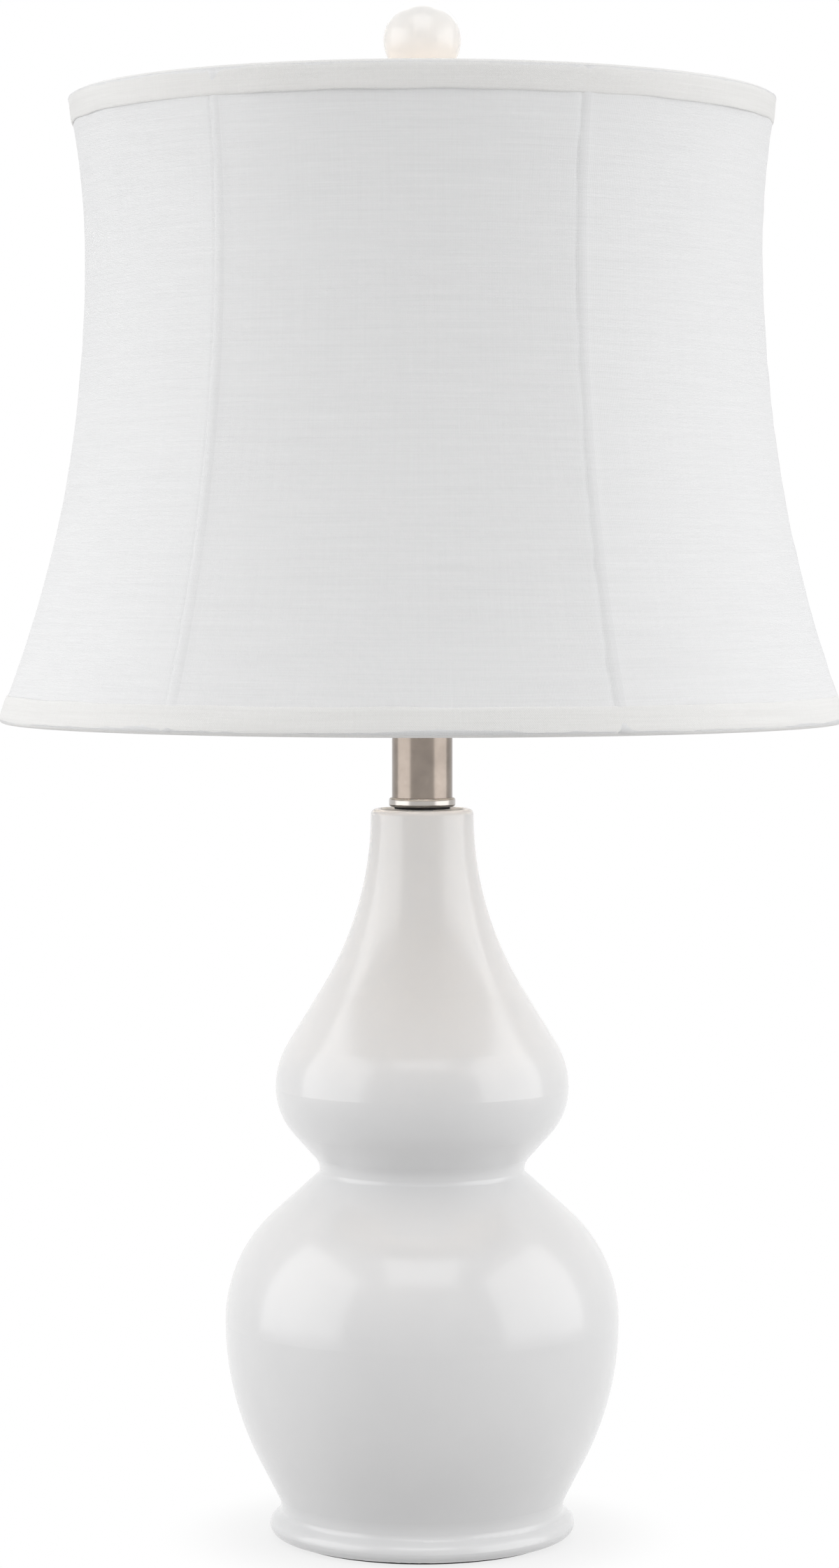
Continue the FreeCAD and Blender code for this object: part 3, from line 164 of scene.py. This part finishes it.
def ramp(tree, value, *stops):
    """A colour ramp over a value; each stop is (place, colour)."""
    node = add(tree, "ShaderNodeValToRGB")
    for element, (place, colour) in zip(node.color_ramp.elements, stops):
        element.position = place
        element.color = (*colour, 1)
    tree.links.new(value, node.inputs["Fac"])
    return node.outputs["Color"]


def calc(tree, operation, one, two):
    """A Math node on two values, each a socket or a number."""
    node = add(tree, "ShaderNodeMath", operation=operation)
    for socket, value in zip(node.inputs, (one, two)):
        if hasattr(value, "links"):
            tree.links.new(value, socket)
        else:
            socket.default_value = value
    return node.outputs["Value"]


def weighed(tree, *parts):
    """The sum of values, each (value, weight)."""
    total = 0.0
    for value, weight in parts:
        total = calc(tree, "ADD", total, calc(tree, "MULTIPLY", value, weight))
    return total


def spread(tree, value, low, high):
    """A 0 to 1 value mapped to a range."""
    node = add(tree, "ShaderNodeMapRange")
    set_sockets(node, To_Min=low, To_Max=high)
    tree.links.new(value, node.inputs["Value"])
    return node.outputs["Result"]


def bump(tree, height, distance, strength, after=None):
    """A bump from a height, over an earlier bump if there is one."""
    node = add(tree, "ShaderNodeBump")
    set_sockets(node, Strength=strength, Distance=distance)
    tree.links.new(height, node.inputs["Height"])
    if after is not None:
        tree.links.new(after, node.inputs["Normal"])
    return node.outputs["Normal"]


def dress(tree, shader, colour, roughness, normal):
    """Links a shader's colour, roughness and normal."""
    tree.links.new(colour, shader.inputs["Base Color"])
    tree.links.new(roughness, shader.inputs["Roughness"])
    tree.links.new(normal, shader.inputs["Normal"])


# ---------------------------------------------------------------- materials
def painted_seam_shade(tree):
    """1 on the strip beside each seam where the cloth lies double, from the UV map in metres; the linen
    darkens this strip as painted shade.
    """
    parts = add(tree, "ShaderNodeSeparateXYZ")
    tree.links.new(mapped(tree, "UV", (1 / GORE_ARC, 1, 1)), parts.inputs[0])
    share = calc(tree, "FRACT", parts.outputs["X"], 0)
    return calc(tree, "LESS_THAN", share, SEAM_STRIP / GORE_ARC)


def linen(name, light, dark, turn=0.0, seams=False):
    """Woven linen on the piece's UV map in metres: threads, slubs and a faint cloudiness; with seams,
    painted shade on the doubled strip beside each seam.
    """
    material, tree, shader = new_material(name)
    lay = (0, 0, turn)
    cloth = mapped(tree, "UV", turn=lay)
    threads = []
    for direction in ("X", "Y"):
        wave = add(tree, "ShaderNodeTexWave", wave_type="BANDS", bands_direction=direction)
        set_sockets(wave, Scale=620.0, Distortion=1.5, Detail=1.0)
        tree.links.new(cloth, wave.inputs["Vector"])
        threads.append(wave.outputs["Fac"])
    weave = calc(tree, "MULTIPLY", *threads)
    weft = noise_at(tree, mapped(tree, "UV", (26, 1500, 1), lay), 1.0, 3.0, 0.6)
    warp = noise_at(tree, mapped(tree, "UV", (1300, 18, 1), lay), 1.0, 2.0)
    slub = noise_at(tree, mapped(tree, "UV", (14, 420, 1), lay), 1.0, 2.0)
    cloud = noise_at(tree, cloth, 9.0)
    shades = [(weft, 0.45), (warp, 0.2), (slub, 0.25), (cloud, 0.12)]
    # painted shade: the strip beside each seam is darkened to stand in for the doubled cloth and rib
    # shading the cloth
    if seams:
        shades.append((painted_seam_shade(tree), -0.16))
    fine = bump(tree, weave, 0.12 * MM, 0.6)
    coarse = bump(tree, weighed(tree, (slub, 1.0), (weft, 0.6)), 0.25 * MM, 0.5, fine)
    dress(tree, shader, ramp(tree, weighed(tree, *shades), (0.30, dark), (0.70, light)),
          spread(tree, weft, 0.78, 0.92), coarse)
    set_sockets(shader, Sheen_Weight=0.12, Sheen_Roughness=0.5, Specular_IOR_Level=0.25)
    return material


def glaze(name, light, dark):
    """Glossy white glaze with a soft mottle, a slight ripple and a few pinholes."""
    material, tree, shader = new_material(name)
    place = mapped(tree, "Object")
    mottle = noise_at(tree, place, 14.0, 4.0, 0.55)
    dulling = noise_at(tree, place, 60.0, 3.0, 0.6)
    peel = bump(tree, noise_at(tree, place, 38.0, 2.0, 0.4), 0.2 * MM, 0.35)
    pits = add(tree, "ShaderNodeTexVoronoi", feature="F1")
    set_sockets(pits, Scale=210.0)
    tree.links.new(place, pits.inputs["Vector"])
    holes = ramp(tree, pits.outputs["Distance"], (0.035, (0, 0, 0)), (0.07, (1, 1, 1)))
    dress(tree, shader, ramp(tree, mottle, (0.30, dark), (0.68, light)),
          spread(tree, dulling, 0.20, 0.27), bump(tree, holes, 0.05 * MM, 0.25, peel))
    set_sockets(shader, Coat_Weight=0.5, Coat_Roughness=0.14, Specular_IOR_Level=0.5)
    return material


def metal(name, light, dark, rough, grain=(900, 900, 30)):
    """Plated or drawn metal: fine lines one way, patches of dulling and a faint tint change."""
    material, tree, shader = new_material(name)
    lines = noise_at(tree, mapped(tree, "Object", grain), 1.0, 4.0, 0.65)
    patches = noise_at(tree, mapped(tree, "Object"), 42.0, 4.0, 0.6)
    dulling = weighed(tree, (lines, 0.6), (patches, 0.4))
    dress(tree, shader, ramp(tree, patches, (0.30, dark), (0.70, light)),
          spread(tree, dulling, rough * 0.7, rough * 1.35), bump(tree, lines, 0.03 * MM, 0.35))
    set_sockets(shader, Metallic=1.0)
    return material


def moulded(name, light, dark, rough, speckle=260.0, depth=0.05 * MM):
    """Moulded plastic, rubber, fibre or paint with a fine grain."""
    material, tree, shader = new_material(name)
    place = mapped(tree, "Object")
    grain = noise_at(tree, place, speckle * 6, 3.0, 0.6)
    patches = noise_at(tree, place, speckle * 0.3)
    dress(tree, shader, ramp(tree, patches, (0.30, dark), (0.70, light)),
          spread(tree, grain, rough * 0.85, min(rough * 1.15, 1.0)), bump(tree, grain, depth, 0.4))
    return material


def felted(name, light, dark):
    """Pressed felt: short tangled fibres."""
    material, tree, shader = new_material(name)
    fibre = noise_at(tree, mapped(tree, "Object"), 900.0, 5.0, 0.75)
    dress(tree, shader, ramp(tree, fibre, (0.30, dark), (0.75, light)),
          spread(tree, fibre, 0.9, 1.0), bump(tree, fibre, 0.4 * MM, 0.8))
    set_sockets(shader, Sheen_Weight=0.4)
    return material


def frosted(name, light, dark, glow):
    """A lit bulb's frosted glass, faintly clouded."""
    material, tree, shader = new_material(name)
    place = mapped(tree, "Object")
    patches = noise_at(tree, place, 30.0, 2.0)
    tree.links.new(ramp(tree, patches, (0.3, dark), (0.7, light)), shader.inputs["Base Color"])
    tree.links.new(spread(tree, patches, 0.35, 0.5), shader.inputs["Roughness"])
    set_sockets(shader, Emission_Color=(*glow, 1), Emission_Strength=12.0,
                Subsurface_Weight=0.2, Subsurface_Scale=4 * MM)
    return material


# the cover's linen carries painted shade on the strip beside each seam
LINEN = linen("off_white_linen", (0.812, 0.814, 0.818), (0.742, 0.744, 0.749), seams=True)
TAPE = linen("bias_linen_tape", (0.810, 0.806, 0.795), (0.735, 0.730, 0.718), math.radians(45))
LINING = linen("plain_lining", (0.820, 0.812, 0.795), (0.760, 0.750, 0.735))
GLAZE = glaze("white_glaze", (0.738, 0.739, 0.743), (0.700, 0.701, 0.706))
FINIAL_GLAZE = glaze("finial_glaze", (0.830, 0.815, 0.795), (0.790, 0.775, 0.757))
NICKEL = metal("brushed_nickel", (0.32, 0.275, 0.24), (0.22, 0.187, 0.162), 0.22, (40, 40, 2600))
RING_NICKEL = metal("turned_nickel", (0.50, 0.475, 0.45), (0.42, 0.395, 0.37), 0.20, (60, 60, 2200))
WIRE_NICKEL = metal("plated_wire", (0.60, 0.57, 0.53), (0.50, 0.47, 0.44), 0.24)
ZINC = metal("zinc_plate", (0.62, 0.63, 0.64), (0.48, 0.49, 0.50), 0.38)
SOCKET_METAL = metal("satin_socket_shell", (0.60, 0.57, 0.52), (0.52, 0.49, 0.45), 0.34, (50, 50, 2000))
BRASS = metal("bright_brass", (0.78, 0.60, 0.27), (0.62, 0.46, 0.18), 0.25)
CAP_ALLOY = metal("bulb_cap_alloy", (0.70, 0.70, 0.71), (0.58, 0.58, 0.59), 0.30)
SOLDER = metal("solder_eye", (0.55, 0.54, 0.53), (0.40, 0.39, 0.38), 0.42)
WHITE_WIRE = moulded("white_painted_wire", (0.74, 0.73, 0.71), (0.66, 0.65, 0.63), 0.45)
PHENOLIC = moulded("black_phenolic", (0.030, 0.027, 0.025), (0.018, 0.016, 0.015), 0.42)
KNOB_PLASTIC = moulded("black_knob_plastic", (0.028, 0.026, 0.025), (0.016, 0.015, 0.014), 0.30)
FIBRE = moulded("fibre_liner", (0.30, 0.25, 0.19), (0.22, 0.18, 0.14), 0.80, 180.0, 0.1 * MM)
BUSHING_PLASTIC = moulded("bushing_plastic", (0.66, 0.64, 0.60), (0.58, 0.56, 0.53), 0.50)
RUBBER = moulded("gasket_rubber", (0.022, 0.022, 0.022), (0.014, 0.014, 0.014), 0.85)
FELT = felted("pressed_felt", (0.075, 0.070, 0.066), (0.022, 0.020, 0.019))
BULB = frosted("frosted_bulb", (0.92, 0.89, 0.84), (0.86, 0.82, 0.76), (1.0, 0.84, 0.70))

NODE_FINISH = {
    "ceramic_body": GLAZE,
    "cord_bushing": BUSHING_PLASTIC,
    "felt_pad": FELT,
    "lamp_pipe": ZINC, "base_washer": ZINC, "lock_washer": ZINC, "base_nut": ZINC,
    "saddle_nut": ZINC, "set_screw": ZINC,
    "neck_gasket": RUBBER,
    "neck_ring": RING_NICKEL, "neck_tube": NICKEL, "tube_cap": RING_NICKEL,
    "harp_saddle": WIRE_NICKEL, "harp_hoop": WIRE_NICKEL, "harp_feet": WIRE_NICKEL,
    "harp_crown": WIRE_NICKEL, "harp_sleeve_right": RING_NICKEL, "harp_sleeve_left": RING_NICKEL,
    "shade_stud": WIRE_NICKEL, "finial_base": RING_NICKEL,
    "socket_cap": SOCKET_METAL, "socket_shell": SOCKET_METAL,
    "socket_liner": FIBRE, "socket_block": PHENOLIC,
    "terminal_screws": BRASS, "screw_shell": BRASS, "centre_contact": BRASS, "switch_shaft": BRASS,
    "switch_knob": KNOB_PLASTIC,
    "bulb_base": CAP_ALLOY, "bulb_contact": SOLDER, "bulb_glass": BULB,
    "shade_top_ring": WHITE_WIRE, "shade_bottom_ring": WHITE_WIRE, "shade_ribs": WHITE_WIRE,
    "shade_spider": WIRE_NICKEL,
    "shade_cover": LINEN, "shade_lining": LINING, "bottom_trim": TAPE, "top_trim": TAPE,
    "finial_ball": FINIAL_GLAZE,
}
for node_name, finish in NODE_FINISH.items():
    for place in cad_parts[node_name].material_slots:
        place.material = finish


# ---------------------------------------------------------------- shade
def shade_radius(height):
    """The ribs' radius at a height: one arc above the waist and one below it."""
    sweep = SHADE_SWEEP_HIGH if height > SHADE_WAIST_HEIGHT else SHADE_SWEEP_LOW
    rise = height - SHADE_WAIST_HEIGHT
    return SHADE_WAIST_R + sweep - math.sqrt(sweep**2 - rise**2)


def heights_between(low, high, rows):
    """Evenly spaced heights, both ends among them."""
    return [low + (high - low) * k / rows for k in range(rows + 1)]


def gore_fall(share_up, share_round):
    """How far the cloth falls in from its ribs, part-way up and part-way across a gore."""
    across = 1 - (2 * share_round - 1) ** 2
    return GORE_DIP * math.sin(math.pi * min(max(share_up, 0), 1)) * across


def gore_place(vert):
    """The gore that a vertex of a fresh spin lies in, and its share of the way across it."""
    nudge = 1e-6
    part = (math.atan2(vert.co.y, vert.co.x) / FULL_TURN % 1.0) * GORES
    gore = int(part + nudge)
    return gore % GORES, min(max(part - gore, 0.0), 1.0)


def cloth_tube(columns, rows, low, high, inset, crowd, relief):
    """A cloth tube spun from a rib's line, with its gores drawn in and a UV map in metres.

    columns counts those of one gore, and crowd gathers them at the seams. relief(share across
    the gore, share of the shade's height, gore) is an extra push outwards.
    """
    bm = bmesh.new()
    rib = [(shade_radius(height) - inset, height) for height in heights_between(low, high, rows)]
    spin_round(bm, line_of(bm, rib), columns * GORES)
    for vert in bm.verts:
        gore, share = gore_place(vert)
        share -= crowd * math.sin(FULL_TURN * share) / FULL_TURN
        up = (vert.co.z - SHADE_LOW) / (SHADE_HIGH - SHADE_LOW)
        reach = math.hypot(vert.co.x, vert.co.y) + relief(share, up, gore) - gore_fall(up, share)
        place_round(vert, reach, FIRST_SEAM + (gore + share) * GORE_TURN)
    lay_flat(bm, FIRST_SEAM)
    bmesh.ops.recalc_face_normals(bm, faces=bm.faces)
    return bm


def lay_flat(bm, start, up=lambda co: co.z):
    """A UV map in metres: round the lamp from a start angle, and up by a given measure."""
    uv = bm.loops.layers.uv.new("cloth")
    for face in bm.faces:
        middle = face.calc_center_median()
        centre = (math.atan2(middle.y, middle.x) - start) % FULL_TURN
        for loop in face.loops:
            turn = math.atan2(loop.vert.co.y, loop.vert.co.x) - start
            turn += FULL_TURN * round((centre - turn) / FULL_TURN)
            loop[uv].uv = (turn * SHADE_WAIST_R, up(loop.vert.co))


def seam_relief(share, up, gore):
    """The seam: a doubled strip on one side, a tight stitched line and slight puckers."""
    from_seam = share * GORE_ARC
    nearest = min(from_seam, (1 - share) * GORE_ARC)
    strip = STRIP_RISE / (1 + math.exp((from_seam - SEAM_STRIP) / STRIP_EDGE))
    stitches = -STITCH_DEPTH * math.exp(-((nearest / STITCH_WIDTH) ** 2))
    near_seam = math.exp(-nearest / PUCKER_REACH)
    near_hem = math.exp(-min(up, 1 - up) / HEM_SHARE)
    puckers = ripple(0.30 * MM, gore * 7.3, up * 34.0, from_seam * 40.0) * near_seam
    slack = ripple(0.35 * MM, gore * 3.1 + share * 2.2, up * 3.0, 4.0)
    gathers = ripple(0.30 * MM, share * 26.0 + gore * 9.0, 8.0, up * 5.0) * near_hem
    return strip + stitches + puckers + slack + gathers


def lining_relief(share, up, gore):
    """The lining's slack: long soft waves."""
    return ripple(0.5 * MM, gore * 5.0 + share * 3.0, up * 6.0, 1.5)


def cut_size(bm, low, high, inset=0.0):
    """The cloth's cut, before it is laid round the frame: (width, length) and its area."""
    spots = [Vector((shade_radius(height), height)) for height in heights_between(low, high, 60)]
    length = sum((two - one).length for one, two in zip(spots, spots[1:]))
    width = FULL_TURN * (max(spot.x for spot in spots) - inset)
    return (width, length), sum(face.calc_area() for face in bm.faces)


def make_cover():
    """The outer cloth: six gores seamed together and drawn over the ribs."""
    bm = cloth_tube(34, 84, SHADE_LOW + COVER_EDGE, SHADE_HIGH - COVER_EDGE, 0.0, 0.86, seam_relief)
    cut, area = cut_size(bm, SHADE_LOW, SHADE_HIGH)
    cover = finish_mesh("linen_cover", bm, "shade", LINEN)
    add_wall(cover, COVER_THICK)
    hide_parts("shade_cover")
    return cover, cut, area


def make_lining():
    """The inner cloth, a plain smooth layer behind the ribs."""
    low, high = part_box("shade_lining")[0].z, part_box("shade_lining")[1].z
    bm = cloth_tube(16, 44, low, high, LINING_INSET, 0.5, lining_relief)
    cut, area = cut_size(bm, low, high, LINING_INSET)
    lining = finish_mesh("shade_liner_cloth", bm, "shade", LINING)
    add_wall(lining, LINING_THICK)
    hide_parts("shade_lining")


# The tape's section: distance out from the cloth's face and down from the rim, in mm.
TAPE_SECTION = [
    (0.20, 11.2), (0.60, 11.8), (1.25, 11.5), (1.40, 10.2), (1.25, 6.0), (1.15, 2.4), (0.65, 0.7),
    (-0.80, -0.3), (-2.60, -0.5), (-4.40, -0.3), (-5.70, 0.8), (-5.95, 2.6), (-5.95, 7.6), (-5.60, 8.6),
    (-5.20, 7.8), (-5.10, 3.0), (-4.20, 0.9), (-2.60, 0.5), (-0.90, 0.7), (-0.05, 2.4), (0.05, 6.0),
]
TAPE_COLUMNS = 132
LAP_RISE = 0.15 * MM
LAP_TURN = 0.16
LAP_SLANT = 0.035
CREASE_DEPTH = 0.25 * MM


def tape_lap(turn, down, lap_start):
    """The outer push where the tape's end laps over its start along a slanted line."""
    past = turn - lap_start - (down / TAPE_WIDTH - 0.5) * LAP_SLANT
    lap = LAP_RISE * (math.tanh(past / 0.008) - math.tanh((past - LAP_TURN) / 0.02))
    return lap - CREASE_DEPTH * math.exp(-((past / 0.006) ** 2))


def make_tape(name, node, rim, way, lap_start, seed):
    """Bias tape folded over a rim; way is 1 at the top rim and -1 at the bottom."""
    bm = bmesh.new()
    levels = [(out * MM, rim - way * down * MM) for out, down in TAPE_SECTION]
    section = [(shade_radius(height) + out, height) for out, height in levels]
    spin_round(bm, line_of(bm, section, closed=True), TAPE_COLUMNS)
    lay_flat(bm, 0.0, lambda co: co.z + math.hypot(co.x, co.y))
    for vert in bm.verts:
        turn = math.atan2(vert.co.x, -vert.co.y)
        reach = math.hypot(vert.co.x, vert.co.y)
        down = (rim - vert.co.z) * way
        if reach > shade_radius(vert.co.z):
            reach += tape_lap(turn, down, lap_start) + ripple(0.35 * MM, turn * 9.0, seed, down * 120.0)
            if down > TAPE_WIDTH * 0.7:
                vert.co.z += way * ripple(0.55 * MM, turn * 7.0, seed + 3.0)
        reach += ripple(0.12 * MM, turn * 22.0, seed, 1.0)
        place_round(vert, reach, FRONT + turn)
    bmesh.ops.recalc_face_normals(bm, faces=bm.faces)
    tape = finish_mesh(name, bm, "shade", TAPE)
    rounding = tape.modifiers.new("folds", "SUBSURF")
    rounding.levels = 2
    rounding.render_levels = 2
    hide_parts(node)
    return tape


cover, cover_cut, cover_area = make_cover()
make_lining()
tapes = [
    make_tape("top_tape", "top_trim", SHADE_HIGH, 1, math.radians(-27.3), 2.0),
    make_tape("bottom_tape", "bottom_trim", SHADE_LOW, -1, math.radians(140.0), 9.0),
]


# ---------------------------------------------------------------- foot, threads and small hardware
def make_felt():
    """The felt disc with soft, slightly uneven edges."""
    low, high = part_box("felt_pad")
    radius = high.x
    bm = bmesh.new()
    bmesh.ops.create_circle(bm, cap_ends=True, segments=128, radius=radius)
    lifted = bmesh.ops.extrude_face_region(bm, geom=bm.faces[:])
    top = [item for item in lifted["geom"] if isinstance(item, bmesh.types.BMVert)]
    bmesh.ops.translate(bm, verts=top, vec=(0, 0, high.z - low.z))
    rims = [edge for edge in bm.edges if len(edge.link_faces) == 2 and edge.calc_face_angle(0) > 1.0]
    bmesh.ops.bevel(bm, geom=rims, offset=0.5 * MM, segments=3, profile=0.5, affect="EDGES", material=-1)
    for vert in bm.verts:
        if math.hypot(vert.co.x, vert.co.y) > radius * 0.9:
            fray = 1 - 0.001 + ripple(0.0016, *(vert.co * 400.0))
            vert.co.x *= fray
            vert.co.y *= fray
    bmesh.ops.recalc_face_normals(bm, faces=bm.faces)
    felt = finish_mesh("felt_disc", bm, "lamp_base", FELT)
    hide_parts("felt_pad")


def helix(section, pitch, low, high, steps):
    """A threaded skin: (radius, share of the pitch) points wound up the axis and trimmed flat."""
    spare_turns = 2
    turns = math.ceil((high - low) / pitch) + spare_turns
    bm = bmesh.new()
    profile = line_of(bm, [(radius, low - pitch + share * pitch) for radius, share in section])
    bmesh.ops.spin(bm, geom=profile, cent=(0, 0, 0), axis=(0, 0, 1), dvec=(0, 0, pitch / steps),
                   angle=FULL_TURN * turns, steps=steps * turns, use_merge=False, use_duplicate=False)
    bmesh.ops.remove_doubles(bm, verts=bm.verts, dist=1e-6)
    for height, outwards in ((low, -1), (high, 1)):
        geom = bm.verts[:] + bm.edges[:] + bm.faces[:]
        bmesh.ops.bisect_plane(bm, geom=geom, dist=1e-7, plane_co=(0, 0, height),
                               plane_no=(0, 0, outwards), clear_outer=True)
    bmesh.ops.recalc_face_normals(bm, faces=bm.faces)
    return bm


def make_bulb_screw():
    """The bulb's rolled thread, with the collar above it and the taper to the contact."""
    low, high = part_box("bulb_base")
    crest, root = high.x - 0.05 * MM, high.x - 1.0 * MM
    thread_low, thread_high = low.z + 4.6 * MM, high.z - 3.4 * MM
    points = 10
    wave = [(root + (crest - root) * (0.5 - 0.5 * math.cos(FULL_TURN * k / points)), k / points)
            for k in range(points + 1)]
    bm = helix(wave, 3.63 * MM, thread_low, thread_high, 36)
    collar = [
        (crest - 0.5 * MM, thread_high), (crest, high.z - 2.8 * MM), (crest, high.z - 0.5 * MM),
        (crest - 0.6 * MM, high.z), (crest - 2.4 * MM, high.z),
    ]
    taper = [
        (4.4 * MM, low.z + 0.1 * MM), (10.2 * MM, low.z + 1.2 * MM), (11.4 * MM, low.z + 2.6 * MM),
        (root, thread_low),
    ]
    for profile in (collar, taper):
        spin_round(bm, line_of(bm, profile), 72)
    bmesh.ops.recalc_face_normals(bm, faces=bm.faces)
    screw = finish_mesh("bulb_screw_cap", bm, "bulb", CAP_ALLOY)
    add_wall(screw, 0.25 * MM)
    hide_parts("bulb_base")


def make_stud_thread():
    """The cut thread on the shade's stud."""
    low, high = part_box("shade_stud")
    seat_top = low.z + 5.05 * MM
    crest, root = 3.16 * MM, 2.9 * MM
    cut = [(root, 0.0), (crest, 0.42), (crest, 0.52), (root, 0.94), (root, 1.0)]
    bm = helix(cut, 0.94 * MM, seat_top + 0.4 * MM, high.z - 0.7 * MM, 24)
    add_wall(finish_mesh("stud_thread", bm, "stud", WIRE_NICKEL), 0.2 * MM)


make_felt()
make_bulb_screw()
make_stud_thread()


# ---------------------------------------------------------------- studio
PHOTO_HEIGHT_PX = 2244
FOCAL_PX = 6200.0
SENSOR_MM = 36.0
CAMERA_PITCH = math.radians(2.8808)
CAMERA_REACH = 1.90526
AIM_HEIGHT = 0.333018
AIM_SIDE = -0.0012
FILL = 0.56
FLOOR_RADIUS = 4.0
SHADOW_START = 0.066
SHADOW_END = 0.12
SHADOW_SHARE = 0.20

# Each softbox: name, place, aim, width, height and power in watts.
SOFTBOXES = [
    ("left_softbox", (-1.05, -0.30, 0.58), (0, -0.12, 0.40), 1.3, 1.2, 6.8),
    ("right_softbox", (1.05, -0.30, 0.58), (0, -0.12, 0.40), 1.3, 1.2, 6.8),
    ("top_softbox", (0, -0.9, 1.7), (0, 0, 0.3), 1.2, 1.2, 6),
    ("back_softbox", (0, 1.0, 1.5), (0, 0, 0.35), 1.2, 1.2, 6),
]


def make_camera():
    """A long lens a little above the lamp's middle, at the photograph's angle."""
    data = bpy.data.cameras.new("camera")
    data.sensor_fit = "VERTICAL"
    data.sensor_height = SENSOR_MM
    data.lens = FOCAL_PX / PHOTO_HEIGHT_PX * SENSOR_MM
    camera = bpy.data.objects.new("camera", data)
    bpy.context.scene.collection.objects.link(camera)
    aim = Vector((AIM_SIDE, 0, AIM_HEIGHT))
    back = Vector((0, -math.cos(CAMERA_PITCH), math.sin(CAMERA_PITCH)))
    camera.location = aim + back * CAMERA_REACH
    camera.rotation_euler = (math.pi / 2 - CAMERA_PITCH, 0, 0)
    bpy.context.scene.camera = camera


def make_softbox(name, place, aim, width, height, power):
    """A softbox that faces a point."""
    data = bpy.data.lights.new(name, "AREA")
    data.shape = "RECTANGLE"
    data.size = width
    data.size_y = height
    data.energy = power
    light = bpy.data.objects.new(name, data)
    bpy.context.scene.collection.objects.link(light)
    light.location = place
    light.rotation_euler = (Vector(place) - Vector(aim)).to_track_quat("Z", "Y").to_euler()


def backdrop_rays(tree):
    """1 for the rays that see the backdrop: those of the camera, of gloss and of glass."""
    path = add(tree, "ShaderNodeLightPath")
    mirrored = calc(tree, "MAXIMUM", path.outputs["Is Glossy Ray"], path.outputs["Is Transmission Ray"])
    return calc(tree, "MAXIMUM", path.outputs["Is Camera Ray"], mirrored)


def make_floor():
    """A pale table with a soft shadow at the foot, as white as the backdrop away from the lamp."""
    bm = bmesh.new()
    bmesh.ops.create_circle(bm, cap_ends=True, segments=96, radius=FLOOR_RADIUS)
    mesh = bpy.data.meshes.new("floor")
    bm.to_mesh(mesh)
    bm.free()
    floor = bpy.data.objects.new("floor", mesh)
    bpy.context.scene.collection.objects.link(floor)
    material, tree, shader = new_material("pale_floor")
    set_sockets(shader, Base_Color=(0.60, 0.60, 0.60, 1), Roughness=0.6, Specular_IOR_Level=0.2)
    coords = add(tree, "ShaderNodeTexCoord")
    length = add(tree, "ShaderNodeVectorMath", operation="LENGTH")
    tree.links.new(coords.outputs["Object"], length.inputs[0])
    fade = add(tree, "ShaderNodeMapRange", interpolation_type="SMOOTHSTEP")
    set_sockets(fade, From_Min=SHADOW_START, From_Max=SHADOW_END, To_Min=1 - SHADOW_SHARE, To_Max=1.0)
    tree.links.new(length.outputs["Value"], fade.inputs["Value"])
    share = calc(tree, "MULTIPLY", fade.outputs["Result"], backdrop_rays(tree))
    glow = add(tree, "ShaderNodeEmission")
    set_sockets(glow, Color=(1, 1, 1, 1), Strength=1.0)
    mix = add(tree, "ShaderNodeMixShader")
    tree.links.new(share, mix.inputs["Fac"])
    tree.links.new(shader.outputs["BSDF"], mix.inputs[1])
    tree.links.new(glow.outputs["Emission"], mix.inputs[2])
    tree.links.new(mix.outputs["Shader"], tree.nodes["Material Output"].inputs["Surface"])
    mesh.materials.append(material)


def make_world():
    """White where the camera, gloss or glass looks, a plain soft fill elsewhere."""
    world = bpy.data.worlds.new("studio")
    world.use_nodes = True
    tree = world.node_tree
    back = tree.nodes["Background"]
    back.inputs["Color"].default_value = (1, 1, 1, 1)
    tree.links.new(spread(tree, backdrop_rays(tree), FILL, 1.0), back.inputs["Strength"])
    bpy.context.scene.world = world


make_camera()
make_floor()
make_world()
for softbox in SOFTBOXES:
    make_softbox(*softbox)
bpy.context.scene.view_settings.view_transform = "Standard"
